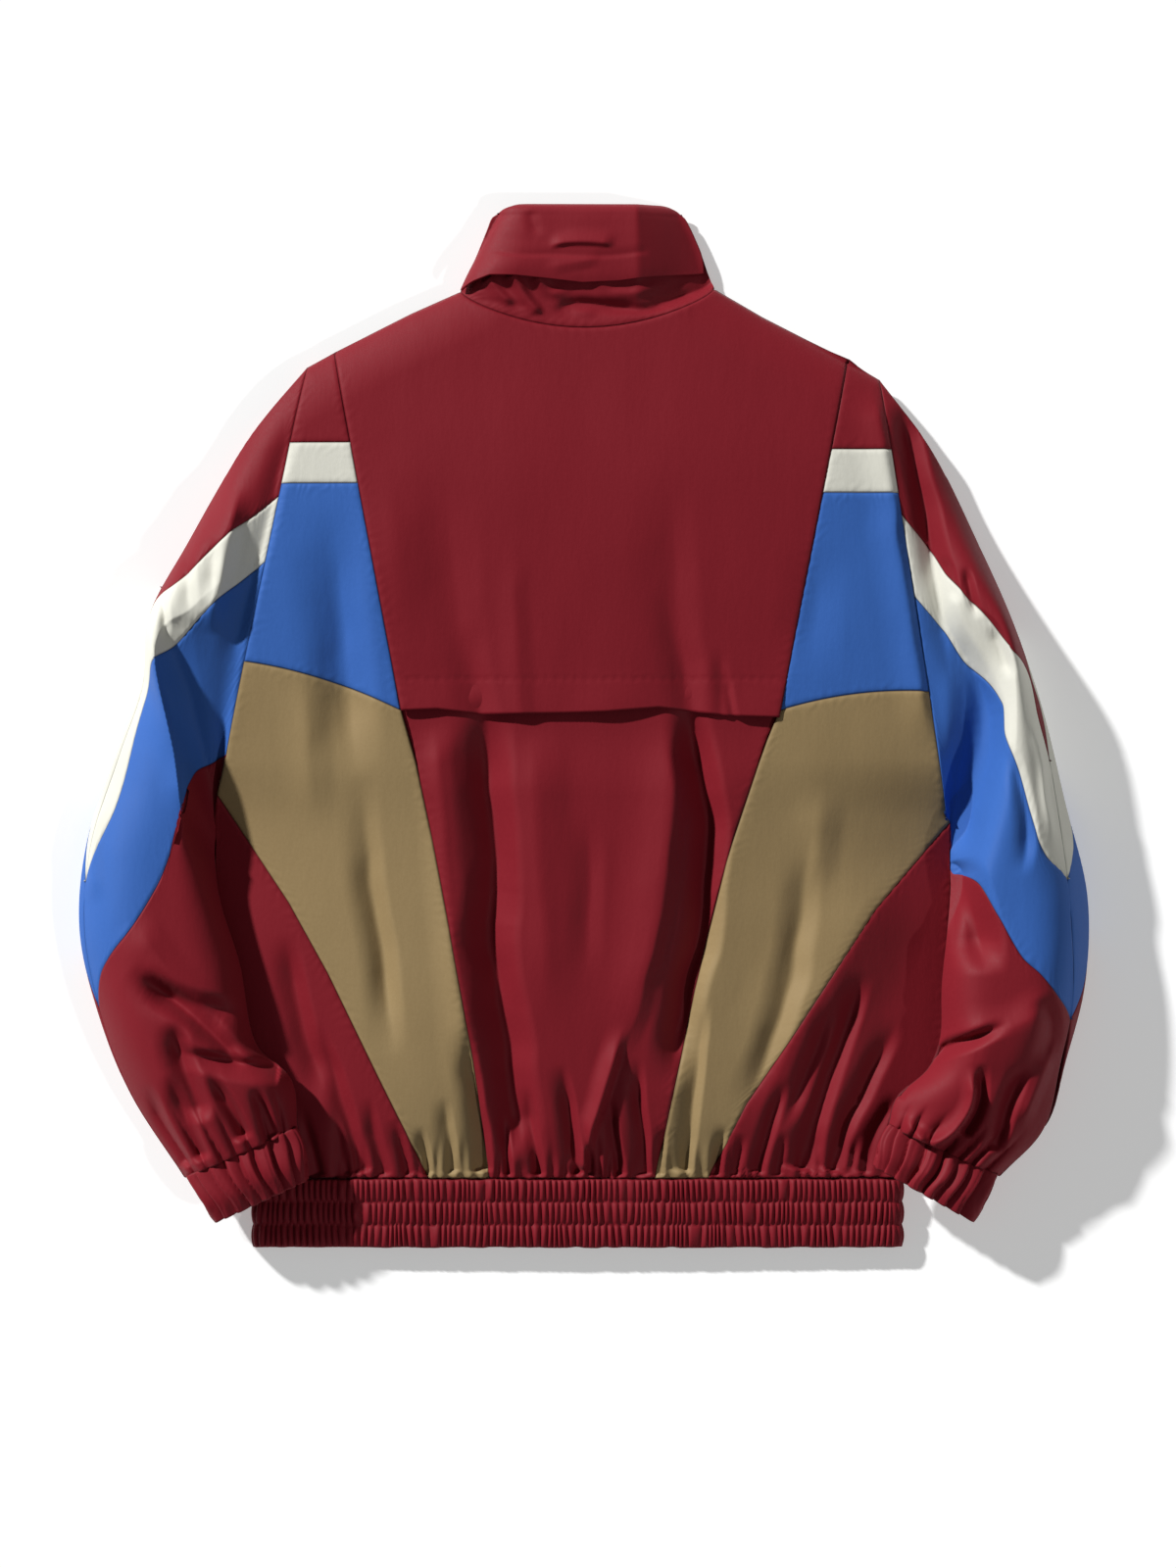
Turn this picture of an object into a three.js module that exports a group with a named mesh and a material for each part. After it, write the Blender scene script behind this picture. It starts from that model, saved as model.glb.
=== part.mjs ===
// A colour-blocked windbreaker jacket, laid out on a flat surface with its back up.
// Millimetres, +Z up, +X to the right as seen from above, +Y towards the collar.
// The origin is on the surface, under the middle of the jacket.
// The fronts lie on the surface, the back lies over them, and the sleeves are hollow tubes
// folded down along the sides, with their cuffs resting on the hem.
import * as THREE from 'three';

// Driving sizes
const clothWall = 1.6;          // one layer of cloth, as a wall
const seamGap = 0.3;            // between two pieces that are sewn together
const edgeHeight = 9;           // height of the side folds above the surface
const layerGap = 0.3;           // between the back and the fronts at a side seam
const neckSeamY = 321;          // ends of the neck seam
const hemSeamY = -332;          // body cloth meets the elastic band here
const hemBottomY = -383;
const zipX = 3;                 // centre front
const zipHalfWidth = 4.6;
const ventY = 10;               // free edge of the back vent flap
const ventTuck = 30;            // how far the lower back runs up under the flap
const flapLift = 3.2;           // the vent flap's outer face above the lower back
const hemRibPitch = 6.9;        // gathers of the elastic hem
const hemChannels = 3;
const gatherPitch = 17;         // gathers of the body cloth above the hem
const gatherReach = 62;
const cuffRibs = 9;
const pointWidth = 0.108;       // width that a panel keeps at its point, as a share of a row

const burgundy = { color: 0x7a1f2c, roughness: 0.62 };
const cream = { color: 0xd9d5c9, roughness: 0.66 };
const blue = { color: 0x3561ac, roughness: 0.62 };
const khaki = { color: 0x92794f, roughness: 0.7 };
const zipMetal = { color: 0x3a2226, roughness: 0.4 };

// The body, from the shoulders to the hem: where its sides are, and how high the back rises
const bodyRows = [
  { y: 340, left: -80, right: 90, leftZ: 22, midZ: 25, rightZ: 22 },
  { y: 264, left: -204, right: 219, leftZ: 27, midZ: 31, rightZ: 27 },
  { y: 180, left: -221.4, right: 231.2, leftZ: 33, midZ: 37, rightZ: 34 },
  { y: 60, left: -246.2, right: 248.7, leftZ: 32, midZ: 39, rightZ: 34 },
  { y: -24, left: -264, right: 261, leftZ: 12.4, midZ: 38, rightZ: 27 },
  { y: -66, left: -269, right: 267, leftZ: 10.9, midZ: 37, rightZ: 13 },
  { y: -150, left: -271, right: 268, leftZ: 10.9, midZ: 35, rightZ: 10.9 },
  { y: -222, left: -267, right: 263, leftZ: 10.9, midZ: 33, rightZ: 10.9 },
  { y: -290, left: -256, right: 251, leftZ: 10.9, midZ: 28, rightZ: 10.9 },
  { y: -332, left: -245, right: 237, leftZ: 10.9, midZ: 16.5, rightZ: 10.9 },
];
const bodyCrownPower = 2.2;     // how squarely the back bulges between its sides
const shoulderRoll = 38;        // width over which the back rises from the shoulder line
const frontRoll = 16;           // width over which a front curls up to its side seam

const shoulderLine = {
  left: [[-240, 240], [-204, 265], [-127, 305], [-91, 321]],
  right: [[250, 232], [217.5, 256], [132, 302], [96, 323]],
};
const neckDip = 29;             // the neck seam sags this far below its ends
const neckEnds = { left: -91, right: 96 };
const neckSteps = 12;

// The sleeves, from the armhole seam to the cuff seam. inner runs under the arm and outer over it
const leftSleeve = [
  {
    innerX: -264, innerY: -24, outerX: -204, outerY: 265,
    crown: 34, innerEdge: 11, outerEdge: 9, innerFloor: 0, outerFloor: 0, seam: 1,
  },
  {
    innerX: -267, innerY: -36, outerX: -249, outerY: 209,
    crown: 42, innerEdge: 11, outerEdge: 12, innerFloor: 0, outerFloor: 0, seam: 1,
  },
  {
    innerX: -269, innerY: -50, outerX: -292, outerY: 135,
    crown: 49, innerEdge: 11, outerEdge: 15, innerFloor: 0, outerFloor: 0, seam: 1,
  },
  {
    innerX: -270.2, innerY: -64, outerX: -320, outerY: 82,
    crown: 52, innerEdge: 12, outerEdge: 17, innerFloor: 1, outerFloor: 0, seam: 1,
  },
  {
    innerX: -270.8, innerY: -80, outerX: -325, outerY: 32,
    crown: 53, innerEdge: 14, outerEdge: 17, innerFloor: 4, outerFloor: 0, seam: 0.98,
  },
  {
    innerX: -271, innerY: -99, outerX: -344, outerY: -20,
    crown: 55, innerEdge: 18, outerEdge: 18, innerFloor: 9, outerFloor: 0, seam: 0.95,
  },
  {
    innerX: -266, innerY: -130, outerX: -365.5, outerY: -84,
    crown: 57, innerEdge: 24, outerEdge: 18, innerFloor: 15, outerFloor: 0, seam: 0.93,
  },
  {
    innerX: -252, innerY: -174, outerX: -371, outerY: -149,
    crown: 57, innerEdge: 27, outerEdge: 18, innerFloor: 18, outerFloor: 0, seam: 0.93,
  },
  {
    innerX: -241, innerY: -230, outerX: -356.5, outerY: -213,
    crown: 57, innerEdge: 30, outerEdge: 18, innerFloor: 21, outerFloor: 0, seam: 0.96,
  },
  {
    innerX: -214, innerY: -258, outerX: -332.5, outerY: -271,
    crown: 55, innerEdge: 33, outerEdge: 20, innerFloor: 24, outerFloor: 4, seam: 0.99,
  },
  {
    innerX: -209, innerY: -294, outerX: -293, outerY: -331,
    crown: 46, innerEdge: 34, outerEdge: 25, innerFloor: 26, outerFloor: 14, seam: 1,
  },
];
const rightSleeve = [
  {
    innerX: 267, innerY: -66, outerX: 217.5, outerY: 256,
    crown: 34, innerEdge: 11, outerEdge: 9, innerFloor: 0, outerFloor: 0, seam: 1,
  },
  {
    innerX: 268.4, innerY: -78, outerX: 258, outerY: 200,
    crown: 42, innerEdge: 11, outerEdge: 12, innerFloor: 0, outerFloor: 0, seam: 1,
  },
  {
    innerX: 268.9, innerY: -89, outerX: 291, outerY: 133,
    crown: 50, innerEdge: 12, outerEdge: 15, innerFloor: 0, outerFloor: 0, seam: 1,
  },
  {
    innerX: 269.2, innerY: -101, outerX: 316, outerY: 76,
    crown: 54, innerEdge: 14, outerEdge: 17, innerFloor: 3, outerFloor: 0, seam: 0.98,
  },
  {
    innerX: 269.4, innerY: -121, outerX: 337, outerY: 14,
    crown: 57, innerEdge: 18, outerEdge: 18, innerFloor: 9, outerFloor: 0, seam: 0.92,
  },
  {
    innerX: 266, innerY: -153, outerX: 354, outerY: -56,
    crown: 58, innerEdge: 24, outerEdge: 18, innerFloor: 15, outerFloor: 0, seam: 0.88,
  },
  {
    innerX: 262, innerY: -190, outerX: 370, outerY: -123,
    crown: 58, innerEdge: 27, outerEdge: 18, innerFloor: 18, outerFloor: 0, seam: 0.87,
  },
  {
    innerX: 261, innerY: -226, outerX: 368.5, outerY: -188,
    crown: 58, innerEdge: 30, outerEdge: 18, innerFloor: 21, outerFloor: 0, seam: 0.9,
  },
  {
    innerX: 252, innerY: -250, outerX: 354, outerY: -246,
    crown: 56, innerEdge: 32, outerEdge: 19, innerFloor: 23, outerFloor: 2, seam: 0.95,
  },
  {
    innerX: 229, innerY: -271, outerX: 339, outerY: -295,
    crown: 52, innerEdge: 33, outerEdge: 22, innerFloor: 25, outerFloor: 8, seam: 1,
  },
  {
    innerX: 222, innerY: -292, outerX: 305, outerY: -330,
    crown: 46, innerEdge: 34, outerEdge: 25, innerFloor: 26, outerFloor: 14, seam: 1,
  },
];
const armholeBlend = 1.6;       // rows over which a sleeve takes up its own roundness
const floorFlatFrom = 0.7;      // share of a sleeve's width by which its underside is level
const sleeveFullness = 0.85;    // below 1 the crown of a sleeve is broader

// Each cuff, from its seam to its opening
const leftCuff = [
  {
    innerX: -209, innerY: -294.6, outerX: -292, outerY: -331.5,
    crown: 44, innerEdge: 34, outerEdge: 25, innerFloor: 26, outerFloor: 14,
  },
  {
    innerX: -204, innerY: -314, outerX: -280, outerY: -348,
    crown: 45, innerEdge: 35, outerEdge: 27, innerFloor: 26, outerFloor: 16,
  },
  {
    innerX: -201, innerY: -331, outerX: -270, outerY: -363,
    crown: 42, innerEdge: 34, outerEdge: 27, innerFloor: 26, outerFloor: 17,
  },
];
const rightCuff = [
  {
    innerX: 222, innerY: -292.6, outerX: 304, outerY: -330.5,
    crown: 44, innerEdge: 34, outerEdge: 25, innerFloor: 26, outerFloor: 14,
  },
  {
    innerX: 216, innerY: -308, outerX: 295, outerY: -347,
    crown: 45, innerEdge: 35, outerEdge: 27, innerFloor: 26, outerFloor: 16,
  },
  {
    innerX: 211, innerY: -321, outerX: 286, outerY: -363,
    crown: 42, innerEdge: 34, outerEdge: 27, innerFloor: 26, outerFloor: 17,
  },
];

// The stand collar, from the neck seam to its top edge
const collarRows = [
  { left: -91, right: 96, endY: 321, dip: 29, crown: 25 },
  { left: -85.5, right: 90.5, endY: 332, dip: 15, crown: 26 },
  { left: -75, right: 81, endY: 353, dip: 4, crown: 25 },
  { left: -62, right: 68.5, endY: 376, dip: 0, crown: 22 },
];
const collarEdge = 11;          // height of the collar's side folds
const collarFlapRows = [
  { left: -88.5, right: 94, endY: 328, dip: -4, lift: 3.8, drop: 0 },
  { left: -84, right: 89, endY: 338, dip: -2, lift: 3.7, drop: 0 },
  { left: -73.5, right: 79.5, endY: 360, dip: 0, lift: 3, drop: 0 },
  { left: -65, right: 71.5, endY: 376, dip: 0, lift: 2.2, drop: 0 },
  { left: -59, right: 65, endY: 383, dip: -1, lift: 2.2, drop: 2.5 },
  { left: -55, right: 61, endY: 384.5, dip: -1, lift: 2.2, drop: 8 },
];

// Where the sleeve seams pass, from the armhole outwards. Each ends on the seam over the arm,
// and the elbow seam starts under the arm
const leftSeams = {
  cap: [{ x: -225, y: 169 }, { x: -249, y: 149 }, { x: -280, y: 122 }, { x: -302, y: 103 }, { x: -320, y: 81 }],
  stripe: [
    { x: -234, y: 121 }, { x: -255, y: 103 }, { x: -281, y: 79 }, { x: -302, y: 57 }, { x: -317, y: 42 },
    { x: -324, y: 14 }, { x: -335, y: -30 }, { x: -346, y: -65 }, { x: -359, y: -116 },
  ],
  elbow: [
    { x: -263, y: -20 }, { x: -276, y: -28 }, { x: -289, y: -42 }, { x: -293, y: -62 }, { x: -299, y: -84 },
    { x: -307, y: -107 }, { x: -318, y: -128 }, { x: -332, y: -149 }, { x: -347, y: -168 }, { x: -354, y: -181 },
    { x: -356, y: -206 },
  ],
};
const rightSeams = {
  cap: [
    { x: 238, y: 148 }, { x: 251, y: 134 }, { x: 266, y: 110 }, { x: 294, y: 79 }, { x: 310, y: 58 },
    { x: 326, y: 37 }, { x: 332, y: 8 }, { x: 341, y: -26 },
  ],
  stripe: [
    { x: 247, y: 88 }, { x: 264, y: 70 }, { x: 278, y: 49 }, { x: 305, y: 17 }, { x: 307, y: -7 },
    { x: 316, y: -32 }, { x: 325, y: -64 }, { x: 336, y: -93 }, { x: 346, y: -117 },
  ],
  elbow: [
    { x: 269.4, y: -101 }, { x: 286, y: -113 }, { x: 301, y: -138 }, { x: 318, y: -167 },
    { x: 332, y: -180 }, { x: 346, y: -197 }, { x: 353, y: -207 }, { x: 358, y: -214 },
  ],
};

// The largest folds of each layer. A crest runs from one point to the other, bowed sideways by bow.
// It rises over one width on its left, seen along the crest from its start, and falls over the other.
const backFolds = [
  { fromX: -104, fromY: 0, toX: -88, toY: -330, bow: 4, rise: 30, fall: 17, height: 10 },
  { fromX: 62, fromY: 30, toX: 52, toY: -310, bow: -6, rise: 34, fall: 17, height: 9 },
  { fromX: -184, fromY: 60, toX: -148, toY: -250, bow: 10, rise: 22, fall: 14, height: 5 },
  { fromX: 152, fromY: -50, toX: 108, toY: -300, bow: -4, rise: 24, fall: 14, height: 7 },
  { fromX: -205, fromY: -170, toX: -200, toY: -300, bow: 3, rise: 20, fall: 13, height: 6 },
  { fromX: 186, fromY: -170, toX: 160, toY: -325, bow: 3, rise: 20, fall: 12, height: 6 },
  { fromX: -66, fromY: 120, toX: -80, toY: -10, bow: 3, rise: 24, fall: 16, height: 3.5 },
  { fromX: 78, fromY: 60, toX: 96, toY: -20, bow: 0, rise: 18, fall: 10, height: 3 },
  { fromX: -160, fromY: 160, toX: -176, toY: 20, bow: 3, rise: 26, fall: 20, height: 3.5 },
];
const leftSleeveFolds = [
  { fromX: -340, fromY: 60, toX: -300, toY: -52, bow: -6, rise: 26, fall: 12, height: 8 },
  { fromX: -318, fromY: -190, toX: -222, toY: -262, bow: 12, rise: 26, fall: 11, height: 8 },
  { fromX: -226, fromY: 228, toX: -250, toY: 130, bow: 4, rise: 20, fall: 16, height: 4 },
];
const rightSleeveFolds = [
  { fromX: 332, fromY: -210, toX: 232, toY: -268, bow: -10, rise: 11, fall: 24, height: 8 },
  { fromX: 268, fromY: 210, toX: 262, toY: 90, bow: 6, rise: 22, fall: 13, height: 6 },
  { fromX: 300, fromY: -60, toX: 290, toY: -150, bow: -6, rise: 18, fall: 14, height: 5 },
];

const lerp = (a, b, t) => a + (b - a) * t;
const clamp01 = (t) => Math.min(1, Math.max(0, t));
const smooth = (t) => clamp01(t) ** 2 * (3 - 2 * clamp01(t));
const rollUp = (t) => Math.sqrt(1 - (1 - clamp01(t)) ** 2);

// Reads a column of a table as a smooth curve. key names the column that orders the rows,
// and with no key the rows are counted
function read(rows, name, at, key = null) {
  const order = (i) => (key ? rows[i][key] : i);
  const down = order(rows.length - 1) < order(0) ? -1 : 1;
  let i = 0;
  while (i < rows.length - 2 && (at - order(i + 1)) * down > 0) i += 1;
  const span = order(i + 1) - order(i);
  const t = clamp01((at - order(i)) / span);
  const slope = (j) => {
    const a = Math.max(j - 1, 0);
    const b = Math.min(j + 1, rows.length - 1);
    return ((rows[b][name] - rows[a][name]) / (order(b) - order(a))) * span;
  };
  const [p, q, m, n] = [rows[i][name], rows[i + 1][name], slope(i), slope(i + 1)];
  return p + m * t + (3 * (q - p) - 2 * m - n) * t * t + (2 * (p - q) + m + n) * t * t * t;
}

// Adds up the folds of a layer at a point
function foldHeight(folds, x, y) {
  let total = 0;
  for (const f of folds) {
    const [dx, dy] = [f.toX - f.fromX, f.toY - f.fromY];
    const length = Math.hypot(dx, dy);
    const t = ((x - f.fromX) * dx + (y - f.fromY) * dy) / (length * length);
    if (t <= -0.15 || t >= 1.15) continue;
    const side = ((x - f.fromX) * -dy + (y - f.fromY) * dx) / length - 4 * f.bow * t * (1 - t);
    const width = side < 0 ? f.rise : f.fall;
    const ends = smooth((t + 0.15) / 0.35) * smooth((1.15 - t) / 0.35);
    total += f.height * ends * Math.exp(-((side / width) ** 2));
  }
  return total;
}

// Distance inside the shoulder line, which bounds the body above
function belowShoulder(x, y) {
  const inside = ([a, b]) => {
    const [dx, dy] = [b[0] - a[0], b[1] - a[1]];
    return Math.abs(((x - a[0]) * dy - (y - a[1]) * dx) / Math.hypot(dx, dy));
  };
  const nearest = (line) => {
    let best = Infinity;
    for (let i = 0; i + 1 < line.length; i += 1) {
      const [a, b] = [line[i], line[i + 1]];
      const length = Math.hypot(b[0] - a[0], b[1] - a[1]);
      const t = ((x - a[0]) * (b[0] - a[0]) + (y - a[1]) * (b[1] - a[1])) / length ** 2;
      if (t >= 0 && t <= 1) best = Math.min(best, inside([a, b]));
      else best = Math.min(best, Math.hypot(x - a[0], y - a[1]), Math.hypot(x - b[0], y - b[1]));
    }
    return best;
  };
  return Math.min(nearest(shoulderLine.left), nearest(shoulderLine.right));
}

// The gathers above the hem: uneven waves that fade out upwards
function gathers(x, y) {
  const above = y - hemSeamY;
  const n = x / gatherPitch;
  const phase = n + 0.28 * Math.sin(n * 1.9) + 0.17 * Math.sin(n * 4.3 + 1);
  const reach = gatherReach * (0.75 + 0.35 * Math.sin(n * 2.7 + 0.6));
  return 2.3 * Math.cos(2 * Math.PI * phase) * smooth(1 - above / reach);
}

// Height of the back's outer face
function backZ(x, y) {
  const left = read(bodyRows, 'left', y, 'y');
  const right = read(bodyRows, 'right', y, 'y');
  const across = THREE.MathUtils.clamp((2 * (x - left)) / (right - left) - 1, -1, 1);
  const side = read(bodyRows, across < 0 ? 'leftZ' : 'rightZ', y, 'y');
  const mid = read(bodyRows, 'midZ', y, 'y');
  const calm = 1 - Math.abs(across) ** 6;
  const swell = mid - (mid - side) * Math.abs(across) ** bodyCrownPower;
  const full = swell + calm * (foldHeight(backFolds, x, y) + gathers(x, y));
  const edge = edgeHeight + layerGap / 2 + clothWall;
  return edge + (full - edge) * rollUp(belowShoulder(x, y) / shoulderRoll);
}

// Height of a front's outer face, which lies on the surface and curls up at the side seam
function frontZ(x, y) {
  const left = read(bodyRows, 'left', y, 'y');
  const right = read(bodyRows, 'right', y, 'y');
  const aboveArmpit = Math.max(0, y - (x < 0 ? leftSleeve : rightSleeve)[0].innerY);
  const inside = Math.min(x - left + aboveArmpit, right - x + aboveArmpit, belowShoulder(x, y));
  return (edgeHeight - layerGap / 2 - clothWall) * (1 - rollUp(inside / frontRoll));
}

// A point of the neck seam, by its share of the way from left to right
function neckPoint(share) {
  const x = lerp(neckEnds.left, neckEnds.right, share);
  return [x, neckSeamY + 2 * share - neckDip * Math.sin(Math.PI * share) ** 0.7];
}

// A point of a sleeve's or cuff's outer face. turn is 0 under the arm, pi over it and 2 pi back under
function sleevePoint(rows, folds, along, turn) {
  const across = -Math.cos(turn);
  const share = (across + 1) / 2;
  const at = (name) => read(rows, name, along);
  const x = lerp(at('innerX'), at('outerX'), share);
  const y = lerp(at('innerY'), at('outerY'), share);
  const edge = lerp(at('innerEdge'), at('outerEdge'), share);
  const floor = Math.max(0, lerp(at('innerFloor'), at('outerFloor'), smooth(share / floorFlatFrom)));
  const up = Math.sin(turn);
  if (up >= 0) {
    const round = edge + (at('crown') - edge) * up ** sleeveFullness;
    const creased = round + foldHeight(folds, x, y) * smooth(up * 1.4);
    const own = folds.length ? smooth(along / armholeBlend) : 1;
    return new THREE.Vector3(x, y, own < 1 ? lerp(backZ(x, y), creased, own) : creased);
  }
  const low = edge - (edge - floor) * (1 - (1 + up) ** 3);
  const own = folds.length ? smooth(along / armholeBlend) : 1;
  const z = Math.max(floor, low - 0.1);
  return new THREE.Vector3(x, y, own < 1 ? lerp(frontZ(x, y), z, own) : z);
}

// A wall between two grids of points, closed along all its edges. A ring joins its last column to its first
function wall(outer, inner, ring = false) {
  const rows = outer.length;
  const columns = outer[0].length;
  const position = [...outer.flat(), ...inner.flat()].flatMap((p) => [p.x, p.y, p.z]);
  const index = [];
  const far = rows * columns;
  const at = (i, j) => i * columns + (j % columns);
  const quad = (a, b, c, d) => index.push(a, b, c, a, c, d);
  const last = ring ? columns : columns - 1;
  for (let i = 0; i + 1 < rows; i += 1) {
    for (let j = 0; j < last; j += 1) {
      quad(at(i, j), at(i, j + 1), at(i + 1, j + 1), at(i + 1, j));
      quad(far + at(i, j), far + at(i + 1, j), far + at(i + 1, j + 1), far + at(i, j + 1));
    }
  }
  for (let j = 0; j < last; j += 1) {
    quad(at(0, j + 1), at(0, j), far + at(0, j), far + at(0, j + 1));
    quad(at(rows - 1, j), at(rows - 1, j + 1), far + at(rows - 1, j + 1), far + at(rows - 1, j));
  }
  for (let i = 0; !ring && i + 1 < rows; i += 1) {
    quad(at(i, 0), at(i + 1, 0), far + at(i + 1, 0), far + at(i, 0));
    const end = columns - 1;
    quad(at(i + 1, end), at(i, end), far + at(i, end), far + at(i + 1, end));
  }
  const geometry = new THREE.BufferGeometry();
  geometry.setAttribute('position', new THREE.Float32BufferAttribute(position, 3));
  geometry.setIndex(volume(position, index) < 0 ? index.reverse() : index);
  return geometry;
}

function volume(position, index) {
  const at = (i) => new THREE.Vector3().fromArray(position, index[i] * 3);
  let sum = 0;
  for (let i = 0; i < index.length; i += 3) sum += at(i).dot(at(i + 1).cross(at(i + 2)));
  return sum / 6;
}

// Draws a grid in from its four edges by half a seam gap
function drawIn(grid, by = seamGap / 2) {
  const last = grid.length - 1;
  const move = (p, q) => p.addScaledVector(q.clone().sub(p).normalize(), by);
  const before = grid.map((row) => row.map((p) => p.clone()));
  grid[0].forEach((p, j) => move(p, before[1][j]));
  grid[last].forEach((p, j) => move(p, before[last - 1][j]));
  grid.forEach((row, i) => {
    move(row[0], before[i][1]);
    move(row[row.length - 1], before[i][row.length - 2]);
  });
  return grid;
}

// Points between two lines of equal length, row by row, with each stretch cut into steps
function between(first, second, steps, columns, bow = () => 0) {
  const grid = [];
  for (let i = 0; i + 1 < first.length; i += 1) {
    for (let k = i ? 1 : 0; k <= steps; k += 1) {
      const t = k / steps;
      const start = first[i].map((v, n) => lerp(v, first[i + 1][n], t));
      const end = second[i].map((v, n) => lerp(v, second[i + 1][n], t));
      const rise = bow((i + t) / (first.length - 1));
      grid.push(Array.from({ length: columns + 1 }, (_, j) => {
        const s = j / columns;
        const p = start.map((v, n) => lerp(v, end[n], s));
        return [p[0], p[1] + rise * 4 * s * (1 - s)];
      }));
    }
  }
  return grid;
}

// A body panel: a plan grid lifted to a height, its wall measured across the slope
function bodyWall(plan, height, facing) {
  const inset = drawIn(plan.map((row) => row.map(([x, y]) => new THREE.Vector3(x, y, 0))));
  const step = 1;
  const outer = inset.map((row) => row.map((p) => new THREE.Vector3(p.x, p.y, height(p.x, p.y))));
  const inner = outer.map((row) => row.map((p) => {
    const rise = height(p.x + step, p.y) - height(p.x - step, p.y);
    const run = height(p.x, p.y + step) - height(p.x, p.y - step);
    const stretch = Math.min(Math.hypot(1, rise / 2, run / 2), 1.6);
    return new THREE.Vector3(p.x, p.y, p.z - facing * clothWall * (facing > 0 ? stretch : 1));
  }));
  return wall(outer, inner);
}

// A sleeve panel: rows of (along, turn) pairs, its wall measured square to the cloth
function sleeveWall(rows, folds, grid) {
  const point = (along, turn) => sleevePoint(rows, folds, along, turn);
  const outer = grid.map((row) => row.map(([along, turn]) => point(along, turn)));
  const step = 0.02;
  const outwards = (along, turn) => {
    const a = point(Math.min(along + step, rows.length - 1), turn);
    const b = point(Math.max(along - step, 0), turn);
    const across = point(along, turn + step).sub(point(along, turn - step));
    return a.sub(b).cross(across).normalize();
  };
  const facing = Math.sign(outwards(rows.length / 2, Math.PI / 2).z);
  const inner = grid.map((row, i) => row.map(([along, turn], j) => {
    const square = outer[i][j].clone().addScaledVector(outwards(along, turn), -facing * clothWall);
    const plumb = outer[i][j].clone();
    plumb.z -= clothWall * (turn <= Math.PI ? 1 : -1);
    return plumb.lerp(square, smooth(along / armholeBlend));
  }));
  const before = outer.map((row) => row.map((p) => p.clone()));
  drawIn(outer, seamGap * 0.95);
  outer.forEach((row, i) => row.forEach((p, j) => inner[i][j].add(p.clone().sub(before[i][j]))));
  return wall(outer, inner);
}

const garment = new THREE.Group();

function add(name, geometry, finish) {
  geometry.computeVertexNormals();
  const mesh = new THREE.Mesh(geometry, new THREE.MeshStandardMaterial({ metalness: 0, ...finish }));
  mesh.name = name;
  garment.add(mesh);
}

// A point of a straight line between two points, at a height y
const atY = ([ax, ay], [bx, by], y) => [lerp(ax, bx, (y - ay) / (by - ay)), y];

const lerpPoint = (p, q, t) => p.map((v, n) => lerp(v, q[n], t));

// The back: yoke with its free vent edge, lower back, and the coloured pieces beside them
const sides = {
  left: {
    shoulder: [-204, 265], armpit: [-264, -24], princessTop: [-184, 276],
    princess: [[-134, 12], [-128, -9], [-123, -27], [-111, -84], [-95, -168], [-84, -229], [-70, hemSeamY]],
    creamTop: 208.5, creamBottom: 178.5, blueBottom: 48,
    corner: [-267.2, -50], diagonal: [[-217, -129], [-188, -181], [-150, -259], [-114, hemSeamY]],
    sideTop: [-267.8, -54], sideSeam: [[-269.5, -66], [-271, -150], [-256, -290], [-245, hemSeamY]],
  },
  right: {
    shoulder: [217.5, 256], armpit: [267, -66], princessTop: [194, 270],
    princess: [[143, 12], [134, -10], [128, -27], [104, -99], [81, -193], [68, -258], [52, hemSeamY]],
    creamTop: 203.5, creamBottom: 171.5, blueBottom: 26,
    corner: [267.4, -70], diagonal: [[214, -134], [156, -222], [119, -277], [91, hemSeamY]],
    sideTop: [267.8, -74], sideSeam: [[269, -100], [267, -180], [251, -290], [237, hemSeamY]],
  },
};

function buildYoke() {
  const [left, right] = [sides.left, sides.right];
  const top = [];
  top.push(left.princessTop, [-127, 305]);
  for (let i = 0; i <= neckSteps; i += 1) top.push(neckPoint((1 - Math.cos((Math.PI * i) / neckSteps)) / 2));
  top.push([132, 302], right.princessTop);
  const bottom = top.map((_, i) => {
    const s = (top[i][0] - left.princessTop[0]) / (right.princessTop[0] - left.princessTop[0]);
    return [lerp(left.princess[0][0], right.princess[0][0], s), ventY + 1.6 * Math.sin(s * 9) * Math.sin(Math.PI * s)];
  });
  bottom[0][1] = 12;
  bottom[top.length - 1][1] = 12;
  add('back_yoke', bodyWall(between(top, bottom, 1, 13), (x, y) => backZ(x, y) + 0.2, 1), burgundy);
}

function buildLowerBack() {
  const tuck = ventY + ventTuck;
  const under = (side) => atY(side.princessTop, side.princess[0], tuck);
  const first = [under(sides.left), ...sides.left.princess];
  const second = [under(sides.right), ...sides.right.princess];
  first[0][0] += 1;
  second[0][0] -= 1;
  const height = (x, y) => backZ(x, y) - flapLift * smooth((y - ventY + 60) / 50);
  add('back_lower', bodyWall(between(first, second, 2, 17), height, 1), burgundy);
}

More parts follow.
